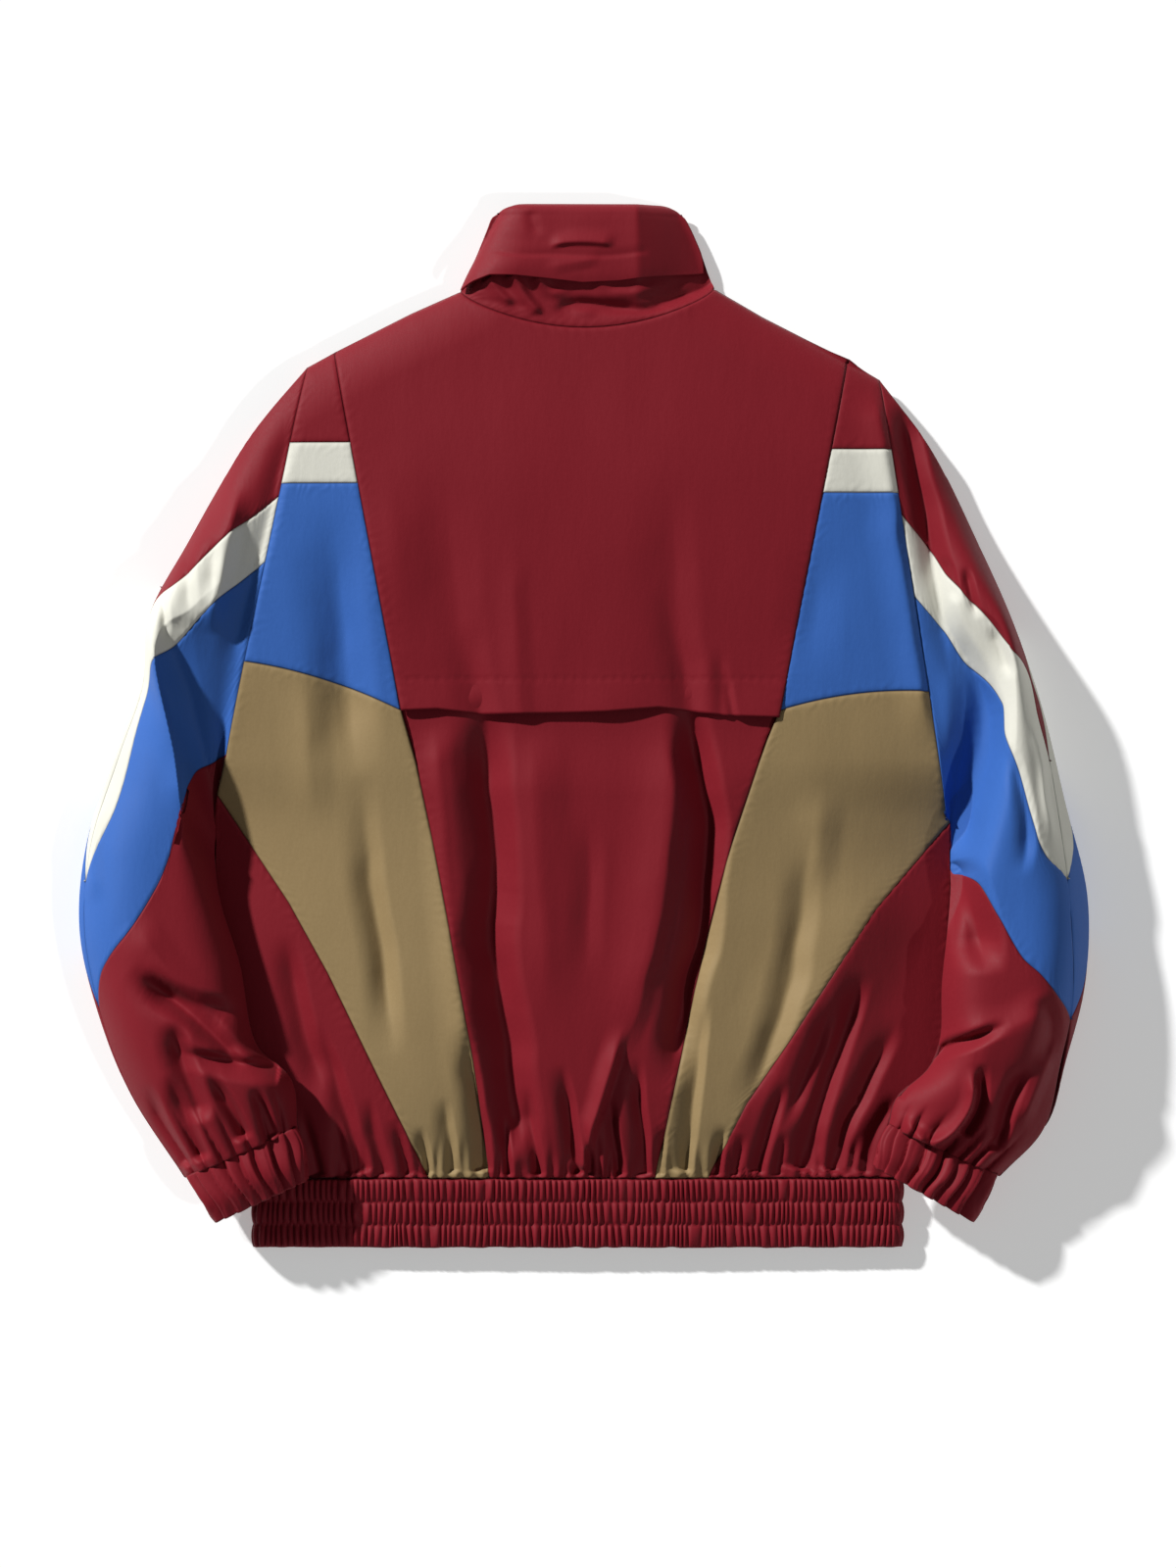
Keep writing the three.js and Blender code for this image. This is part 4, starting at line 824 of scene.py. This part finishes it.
def buildSleeve(name, rows, creases, seams):
    last = len(rows["innerX"]) - 1
    def over(along):
        return np.arccos(-np.minimum(1, readCurve(rows, "seam", along)))
    def trace(points):
        return [onSleeve(rows, x, y) for x, y in points]
    def toSeam(line):
        return [*line[:-1], (line[-1][0], float(over(line[-1][0])))]
    cap = toSeam(trace(seams["cap"]))
    stripe = toSeam(trace(seams["stripe"]))
    elbow = toSeam(trace(seams["elbow"]))
    cap[0] = (0.0, cap[0][1])
    stripe[0] = (0.0, stripe[0][1])
    startsAtArmhole = elbow[0][0] == 0
    if not startsAtArmhole:
        elbow[0] = (elbow[0][0], 0.0)
    def overArm(start, end, count):
        return [(a, float(over(a))) for a in np.linspace(start, end, count)]
    def stretched(line, count):
        return smoothLine(np.array(line) * (40, 60), count) / (40, 60)
    def panel(piece, first, second, slotName, size):
        count = int(size / cell["sleeve"])
        a, b = stretched(first, count), stretched(second, count)
        gap = sleevePoint(rows, [], a[:, 0], a[:, 1]) - sleevePoint(rows, [], b[:, 0], b[:, 1])
        columns = int(np.linalg.norm(gap, axis=1).max() / cell["sleeve"] * 1.2) + 3
        s = np.linspace(0, 1, columns)[None, :, None]
        grid = a[:, None, :] * (1 - s) + b[:, None, :] * s
        points = sleevePoint(rows, creases, grid[..., 0], grid[..., 1])
        label = name + "_sleeve_back_" + piece
        addSheet(label, [label], slotName, points, 1)
        grid = grid[::2, ::2]
        seam = over(grid[..., 0])
        turn = seam + (seam - grid[..., 1]) / seam * (2 * math.pi - seam)
        points = sleevePoint(rows, creases, grid[..., 0], turn)
        label = name + "_sleeve_front_" + piece
        addSheet(label, [label], slotName, points, -1)
    blueLow = elbow if startsAtArmhole else [(0.0, 0.0), (elbow[0][0] / 2, 0.0), *elbow]
    capTop = overArm(0, cap[-1][0] - 0.01, 8)
    stripeTop = [*cap, *overArm(cap[-1][0], stripe[-1][0] - 0.01, 6)[1:]]
    blueTop = [*stripe, *overArm(stripe[-1][0], elbow[-1][0] - 0.01, 5)[1:]]
    cuffLine = [(float(last), t) for t in np.linspace(0, math.pi, 12)]
    panel("cap", capTop, cap, "burgundy_cloth", 330)
    panel("stripe", stripeTop, stripe, "cream_cloth", 330)
    panel("blue", blueTop, blueLow, "blue_cloth", 330)
    panel("lower", elbow, cuffLine, "burgundy_cloth", 220)


# A gathered cuff: deep pleats run along it between finer ones, drawn in at both ends
def buildCuff(name, rows):
    columns, levels = 300, 30
    turn = np.linspace(0, 2 * math.pi, columns + 1)[None, :]
    along = np.linspace(0, 2, levels)[:, None]
    t = along / 2
    points = sleevePoint(rows, [], along + 0 * turn, turn + 0 * along)
    middle = points.mean(axis=1, keepdims=True)
    outward = points - middle
    outward = outward / np.linalg.norm(outward, axis=2, keepdims=True)
    share = (1 - np.cos(turn)) / 2 + 0.02 * np.sin(t * 5 + turn * 2)
    puff, depth = pleated(cuffPleats[name], share)
    fine = np.abs(np.sin(share * 61 + 2.4 * np.sin(share * 17) + 0.8 * np.sin(t * 4))) ** 0.8
    full = 0.6 + 0.4 * np.sin(math.pi * np.clip(t, 0, 1)) ** 0.7
    rise = ((puff - 0.6) * depth * 2.1 + 1.1 * (fine - 0.5)) * full
    rise = rise * np.where(np.sin(turn) > 0, 1, 0.35) + 1.6 * np.sin(math.pi * t)
    points = points + outward * rise[..., None]
    ripple = 0.9 * (puff - 0.5) * smooth((t - 0.7) / 0.3)
    points[..., 1] -= ripple
    addSheet(name + "_cuff", [name + "_cuff"], "burgundy_cloth", points, 1,
             open=("last", "start", "end"), relief=0.6)


hemLook = {"left": -244.0, "right": 234.5, "height": 16.5, "slope": 4, "ribPitch": 4.7, "ribWander": 0.8}


# The elastic hem: three puffed channels between four stitched lines, finely ribbed
def buildHem():
    left, right, height = hemLook["left"], hemLook["right"], hemLook["height"]
    bend = height / 2
    bottomLeft = np.stack([np.linspace(zipX - zipHalfWidth - 0.3, left + bend, 50), np.zeros(50)], axis=1)
    bottomRight = np.stack([np.linspace(right - bend, zipX + zipHalfWidth + 0.3, 50), np.zeros(50)], axis=1)
    angle = np.linspace(-math.pi / 2, -1.5 * math.pi, 24)[1:-1]
    leftBend = np.stack([left + bend + bend * np.cos(angle), bend + bend * np.sin(angle)], axis=1)
    count = int((right - left - 2 * bend) / 0.5)
    x = np.linspace(left + bend, right - bend, count)
    top = np.stack([x, height + 1.6 * np.sin(math.pi * np.linspace(0, 1, count))], axis=1)
    angle = np.linspace(math.pi / 2, -math.pi / 2, 24)[1:-1]
    rightBend = np.stack([right - bend + bend * np.cos(angle), bend + bend * np.sin(angle)], axis=1)
    path = np.concatenate([bottomLeft, leftBend, top, rightBend, bottomRight])
    tangent = np.gradient(path, axis=0)
    normal = np.stack([-tangent[:, 1], tangent[:, 0]], axis=1)
    normal = normal / np.linalg.norm(normal, axis=1, keepdims=True)
    run = np.concatenate([[0], np.cumsum(np.linalg.norm(np.diff(path, axis=0), axis=1))])
    onTop = smooth((path[:, 1] - 4) / 8)
    rows = 37
    v = np.linspace(0, 1, rows)[:, None]
    channel = np.clip(np.floor(v * 3), 0, 2)
    within = v * 3 - channel
    puff = np.sin(math.pi * within) ** 0.7
    around = run[None, :] + 0 * v
    phase = run[None, :] / hemLook["ribPitch"] + 0.35 * channel
    phase = phase + hemLook["ribWander"] * softNoise(around, channel * 37 + v * 9, 13, 11)
    ribs = np.abs(np.sin(math.pi * phase)) ** 0.75 - 0.6
    uneven = 1 + 0.35 * softNoise(around, channel * 50 + 0 * run[None, :], 6, 12)
    rise = onTop[None, :] * (puff * 1.6 - 0.4 + ribs * uneven * (1 + 1.7 * puff))
    y = mix(hemSeamY - 0.3, hemBottomY, v) + onTop[None, :] * 0.5 * softNoise(around, v * 12, 7, 13)
    points = np.stack([path[None, :, 0] + normal[None, :, 0] * rise, y + 0 * run[None, :],
                       path[None, :, 1] + normal[None, :, 1] * rise], axis=-1)
    uv = np.stack([around, y + 0 * run[None, :]], axis=-1)
    points[..., 2] = np.maximum(points[..., 2] - hemLook["slope"] * v * onTop[None, :], 0)
    addSheet("hem_band", ["hem_band"], "burgundy_cloth", points, 1,
             open=("start", "end", "last"), relief=0.6, uv=uv)


collarRows = table(
    "left right endY dip crown",
    (-91, 96, 321, 29, 27),
    (-85.5, 91.5, 332, 15, 29),
    (-75.5, 84, 353, 4, 29),
    (-63, 72, 376, 0, 26),
)
# The flap from its free edge to its far edge, over the roll at the top
collarFlapRows = table(
    "left right leftY rightY bow lift drop",
    (-91, 88.5, 321.5, 334.5, 1, 1, 0),
    (-86.5, 88.2, 331.5, 341, 0.7, 0.8, 0),
    (-80, 86.6, 345, 348.5, 0.25, 0.3, 0),
    (-75.5, 83.5, 356, 356.5, 0, 0, 0),
    (-71.5, 79, 366, 366.5, 0, 0, 0),
    (-67.5, 74, 376, 376, 0, 0, 0.6),
    (-62, 70.5, 382, 381.5, 0, 0, 3),
    (-56, 66, 384.6, 384.3, 0, 0, 8),
)
collarFlapEdge = table(
    "share bow lift",
    (0, 0, 7), (0.05, 4.8, 6.6), (0.12, 8.4, 6), (0.22, 6.6, 5), (0.36, 2.3, 2.8), (0.5, -2.4, 1.6),
    (0.65, -3, 1.2), (0.8, -1.3, 0.8), (0.97, -0.6, 0.6), (1, 0, 0.6),
)
collarEdge = {"left": 11, "right": 7, "crestX": 37}
standFolds = [
    ([(-54, 334), (-43, 316), (-31, 300)], 8, 4, 4.5, 0.1, 0.2),
    ([(-72, 330), (-62, 318), (-50, 308)], 7, 4, 3.2, 0.1, 0.3),
    ([(-36, 332), (-28, 322), (-12, 316)], 6, 4, 2.6, 0.1, 0.4),
    ([(74, 304), (39, 305), (3, 311), (-14, 310), (-23, 300)], 5, 6, -4, 0.2, 0.2),
    ([(60, 326), (40, 318), (18, 320), (2, 328)], 6, 5, 2, 0.3, 0.3),
    ([(84, 320), (62, 312), (46, 300)], 6, 5, -2, 0.3, 0.3),
]
flapFolds = [
    ([(24, 354.5), (4, 356), (-14, 355.5), (-27, 352)], 8, 2.6, 2.6, 0.2, 0.2),
    ([(50, 349), (10, 346), (-40, 347), (-72, 350)], 5, 2.4, -0.9, 0.1, 0.1),
    ([(-40, 380), (-36, 366), (-30, 360)], 6, 5, -1.2, 0.3, 0.4),
    ([(14, 345), (-10, 340), (-30, 336)], 7, 5, 1.2, 0.3, 0.3),
]


# The collar's upper face: flat from the left, then down to the right from a crest
def collarHeight(x, y):
    left, right = (readCurve(collarRows, name, y, "endY") for name in ("left", "right"))
    crown = readCurve(collarRows, "crown", y, "endY")
    share = np.clip((x - left) / (right - left), 0, 1)
    rise = collarEdge["left"] + (crown - collarEdge["left"]) * rollUp(share / 0.2)
    slope = ramp((x - collarEdge["crestX"]) / (right - collarEdge["crestX"]), 0.1, 0.12)
    return rise + (collarEdge["right"] - crown) * slope


def buildCollar():
    turn = np.linspace(-math.pi / 2 + 0.06, 1.5 * math.pi - 0.06, 320)[None, :]
    along = np.linspace(0, 3, 56)[:, None]
    at = {name: readCurve(collarRows, name, along) for name in collarRows}
    share = (1 - np.cos(turn)) / 2
    x = mix(at["left"], at["right"], share)
    y = at["endY"] + 2 * share - at["dip"] * np.sin(math.pi * share) ** 0.7
    up = np.sin(turn)
    seam = 1 - smooth(along / 0.6)
    edge = mix(collarEdge["left"], collarEdge["right"], smooth((x + 60) / 120))
    crumple = foldHeight(standFolds, x, y) + 0.8 * softNoise(x, y * 1.6, 11, 21)
    own = collarHeight(x, y) + crumple * smooth(along / 0.3) - 2.4 * smooth((y - 332) / 10)
    own = edge + (own - edge) * rollUp(np.maximum(up, 0) / 0.5)
    high = mix(own, backHeight(x, y), seam)
    low = mix(np.maximum(0, edge * (1 + np.minimum(up, 0)) ** 3 - 0.1), frontHeight(x, y), seam)
    z = np.where(up >= 0, high, low)
    points = np.stack([x + 0 * z, y + 0 * z, z], axis=-1)
    points[:, 0, 0] = zipX - zipHalfWidth
    points[:, -1, 0] = zipX + zipHalfWidth
    addSheet("collar_stand", ["collar_stand"], "burgundy_cloth", points, 1,
             open=("last", "start", "end"))
    share = np.linspace(0, 1, 150)[None, :]
    along = np.linspace(0, 7, 70)[:, None]
    at = {name: readCurve(collarFlapRows, name, along) for name in collarFlapRows}
    bow = np.interp(share, collarFlapEdge["share"], collarFlapEdge["bow"])
    lifted = np.interp(share, collarFlapEdge["share"], collarFlapEdge["lift"])
    x = mix(at["left"], at["right"], share)
    y = mix(at["leftY"], at["rightY"], share) + at["bow"] * bow
    y = y - 3.4 * (1 - rollUp(np.minimum(share, 1 - share) / 0.09)) * smooth((along - 4.6) / 1.4)
    wave = 0.7 * softNoise(x, y, 26, 23) + foldHeight(flapFolds, x, y)
    z = collarHeight(x, y) + 1.6 + at["lift"] * lifted - at["drop"] + wave * (1 - smooth((along - 5) / 1))
    points = np.stack([x + 0 * z, y + 0 * z, z], axis=-1)
    addSheet("collar_flap", ["collar_flap"], "burgundy_cloth", points, 1,
             open=("first", "start", "end", "last"))


buildBack()
buildSideBack("left", sides["left"])
buildSideBack("right", sides["right"])
print("back made")
buildFront("left", sides["left"], -1)
buildFront("right", sides["right"], 1)
print("fronts made")
buildSleeve("left", leftSleeve, leftSleeveFolds, leftSeams)
buildSleeve("right", rightSleeve, rightSleeveFolds, rightSeams)
print("sleeves made")
buildCuff("left", leftCuff)
buildCuff("right", rightCuff)
buildHem()
buildCollar()
print("cuffs, hem and collar made")

zipLook = {
    "tapeBottom": -382, "tapeTop": 364, "tapeBack": 1.9, "tapeWidth": 10.6,
    "pitch": 2.8, "tooth": (2.7, 1.7, 1.1), "toothBevel": 0.3, "toothHeight": 1.25, "nose": 0.6,
    "light": (0.075, 0.034, 0.04), "dark": (0.045, 0.024, 0.028), "metallic": 0.7,
}
sliderLook = {"size": (6.6, 8.6, 2.7), "place": (3, 365.2, 1.45), "bevel": 0.55, "waist": 0.72,
              "tab": (3.6, 11, 0.8), "tabPlace": (3, 361, 2.9), "tabBevel": 0.3, "tabFoot": 0.7, "hole": 0.9}


# Painted metal of the zip's teeth and slider, a little worn
def zipMaterial():
    material, start, shader = newMaterial("zip-metal")
    coords = start.node("ShaderNodeTexCoord", out=3)
    grain = start.node("ShaderNodeTexNoise", sockets={"Vector": coords, "Scale": 900.0, "Detail": 3.0})
    worn = start.node("ShaderNodeTexNoise", sockets={"Vector": coords, "Scale": 160.0, "Detail": 2.0})
    tone = start.node("ShaderNodeMix", {"data_type": "RGBA"},
                      {0: worn, 6: (*zipLook["dark"], 1), 7: (*zipLook["light"], 1)}, out=2)
    rough = grain * 0.2 + 0.3
    bump = start.node("ShaderNodeBump", sockets={"Strength": 0.1, "Distance": 0.0001, "Height": grain})
    for wire, name in ((tone, "Base Color"), (rough, "Roughness"), (bump, "Normal")):
        start.tree.links.new(wire.socket, shader.inputs[name])
    shader.inputs["Metallic"].default_value = zipLook["metallic"]
    return material


# A block of a given size and place, in mm, left in edit mode with all of it selected
def startBlock(name, size, place):
    bpy.ops.object.select_all(action="DESELECT")
    bpy.ops.mesh.primitive_cube_add(size=1, location=[v * 0.001 for v in place])
    made = bpy.context.object
    made.name = name
    bpy.ops.object.mode_set(mode="EDIT")
    bpy.ops.transform.resize(value=[v * 0.001 for v in size])
    return made


# Leaves only the points selected that pass a test of their place in the block, from -1 to 1 on each axis
def selectWhere(made, size, test):
    shape = bmesh.from_edit_mesh(made.data)
    for vert in shape.verts:
        vert.select = test(*(2000 * vert.co[i] / size[i] for i in range(3)))
    shape.select_flush_mode()
    bmesh.update_edit_mesh(made.data)


def finishBlock(made, material):
    bpy.ops.object.mode_set(mode="OBJECT")
    bpy.ops.object.transform_apply(location=True, rotation=True, scale=True)
    made.data.materials.append(material)


# Copies the active piece's mesh along itself
def repeat(made, count, step):
    copies = made.modifiers.new("copies", "ARRAY")
    copies.use_relative_offset = False
    copies.use_constant_offset = True
    copies.constant_offset_displace = (0.001 * step[0], 0.001 * step[1], 0)
    copies.count = count
    bpy.ops.object.modifier_apply(modifier="copies")


def buildZip():
    metal = zipMaterial()
    x = zipX + zipLook["tapeWidth"] * np.linspace(-0.5, 0.5, 9)[None, :]
    y = np.linspace(zipLook["tapeBottom"], zipLook["tapeTop"], 260)[:, None]
    tape = np.stack([x + 0 * y, y + 0 * x, zipLook["tapeBack"] + 0 * x * y], axis=-1)
    addSheet("zip_tape", ["front_zip"], "burgundy_cloth", tape, -1,
             open=("first", "last"), relief=0.2)
    length, wide, deep = zipLook["tooth"]
    place = (zipX - 0.25 * length, zipLook["tapeBottom"] + 4, zipLook["toothHeight"])
    teeth = startBlock("zip_teeth", (length, wide, deep), place)
    selectWhere(teeth, (length, wide, deep), lambda across, along, up: across > 0)
    bpy.ops.transform.resize(value=(1, zipLook["nose"], 1))
    bpy.ops.mesh.select_all(action="SELECT")
    bpy.ops.mesh.bevel(offset=zipLook["toothBevel"] * 0.001, segments=1)
    finishBlock(teeth, metal)
    repeat(teeth, 2, (0.5 * length, 0.5 * zipLook["pitch"]))
    pairs = int((zipLook["tapeTop"] - zipLook["tapeBottom"] - 12) / zipLook["pitch"])
    repeat(teeth, pairs, (0, zipLook["pitch"]))
    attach(teeth, "root")
    size = sliderLook["size"]
    slider = startBlock("zip_slider_body", size, sliderLook["place"])
    bpy.ops.mesh.subdivide(number_cuts=2)
    selectWhere(slider, size, lambda across, along, up: along < -0.9)
    bpy.ops.transform.resize(value=(sliderLook["waist"], 1, 0.8))
    selectWhere(slider, size, lambda across, along, up: abs(across) > 0.9 and abs(along) < 0.4)
    bpy.ops.transform.resize(value=(0.86, 1, 1))
    bpy.ops.mesh.select_all(action="SELECT")
    finishBlock(slider, metal)
    rounding = slider.modifiers.new("round", "BEVEL")
    rounding.width = sliderLook["bevel"] * 0.001
    rounding.segments = 2
    bpy.ops.object.modifier_apply(modifier="round")
    size = sliderLook["tab"]
    tab = startBlock("zip_pull_tab", size, sliderLook["tabPlace"])
    selectWhere(tab, size, lambda across, along, up: along > 0.9)
    bpy.ops.transform.resize(value=(sliderLook["tabFoot"], 1, 1))
    selectWhere(tab, size, lambda across, along, up: up > 0.9)
    bpy.ops.mesh.inset(thickness=sliderLook["hole"] * 0.001, depth=-0.0002)
    bpy.ops.mesh.select_all(action="SELECT")
    bpy.ops.mesh.bevel(offset=sliderLook["tabBevel"] * 0.0005, segments=2)
    finishBlock(tab, metal)
    bpy.ops.object.select_all(action="DESELECT")
    tab.select_set(True)
    slider.select_set(True)
    bpy.context.view_layer.objects.active = slider
    bpy.ops.object.join()
    bpy.ops.object.shade_smooth_by_angle(angle=math.radians(40))
    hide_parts("zip_slider")
    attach(slider, "root")


buildZip()
print("zip made")


floorLook = {"colour": (0.8, 0.8, 0.795), "speck": (0.81, 0.81, 0.805), "size": 6.0, "level": -0.4,
             "rough": 0.85, "glow": 0.325}
lightLook = {
    "key": {"energy": 4.78, "elevation": 26, "towards": -42, "spread": 2.6},
    "side": {"energy": 0.45, "elevation": 42, "towards": 152, "spread": 2.0},
    "fill": 0.115, "fillColour": (0.93, 0.96, 1.0),
}


def addSun(name):
    look = lightLook[name]
    lamp = bpy.data.lights.new(name, "SUN")
    lamp.energy = look["energy"]
    lamp.angle = math.radians(look["spread"])
    rise, heading = math.radians(look["elevation"]), math.radians(look["towards"])
    level = math.cos(rise)
    direction = Vector((level * math.cos(heading), level * math.sin(heading), -math.sin(rise)))
    sun = bpy.data.objects.new(name, lamp)
    sun.rotation_euler = direction.to_track_quat("-Z", "Y").to_euler()
    sun.location = -1.5 * direction
    bpy.context.scene.collection.objects.link(sun)


def buildStage():
    material, start, shader = newMaterial("floor-white")
    coords = start.node("ShaderNodeTexCoord", out=3)
    grain = start.node("ShaderNodeTexNoise", sockets={"Vector": coords, "Scale": 60.0, "Detail": 2.0})
    tone = start.node("ShaderNodeMix", {"data_type": "RGBA"},
                      {0: grain, 6: (*floorLook["colour"], 1), 7: (*floorLook["speck"], 1)}, out=2)
    start.tree.links.new(tone.socket, shader.inputs["Base Color"])
    shader.inputs["Roughness"].default_value = floorLook["rough"]
    shader.inputs["Emission Color"].default_value = (1, 1, 0.99, 1)
    shader.inputs["Emission Strength"].default_value = floorLook["glow"]
    half = floorLook["size"] * 500
    plan = [(-half, -half), (half, -half), (half, half), (-half, half)]
    corners = np.array([(*corner, floorLook["level"]) for corner in plan], float)
    floor = makeObject("floor", corners, np.array([[0, 1, 2, 3]]), material)
    addSun("key")
    addSun("side")
    world = bpy.data.worlds.new("studio")
    world.use_nodes = True
    sky = world.node_tree.nodes["Background"]
    sky.inputs["Color"].default_value = (*lightLook["fillColour"], 1)
    sky.inputs["Strength"].default_value = lightLook["fill"]
    bpy.context.scene.world = world


# Straight above the jacket, as far off as the photo was taken
cameraLook = {"place": (0.00288, -0.04176, 3.88), "lens": 120.6, "sensor": 36}


def buildCamera():
    data = bpy.data.cameras.new("photo")
    data.lens = cameraLook["lens"]
    data.sensor_width = cameraLook["sensor"]
    data.sensor_fit = "AUTO"
    camera = bpy.data.objects.new("photo", data)
    camera.location = cameraLook["place"]
    bpy.context.scene.collection.objects.link(camera)
    bpy.context.scene.camera = camera


buildStage()
buildCamera()
bpy.context.scene.view_settings.view_transform = "Standard"
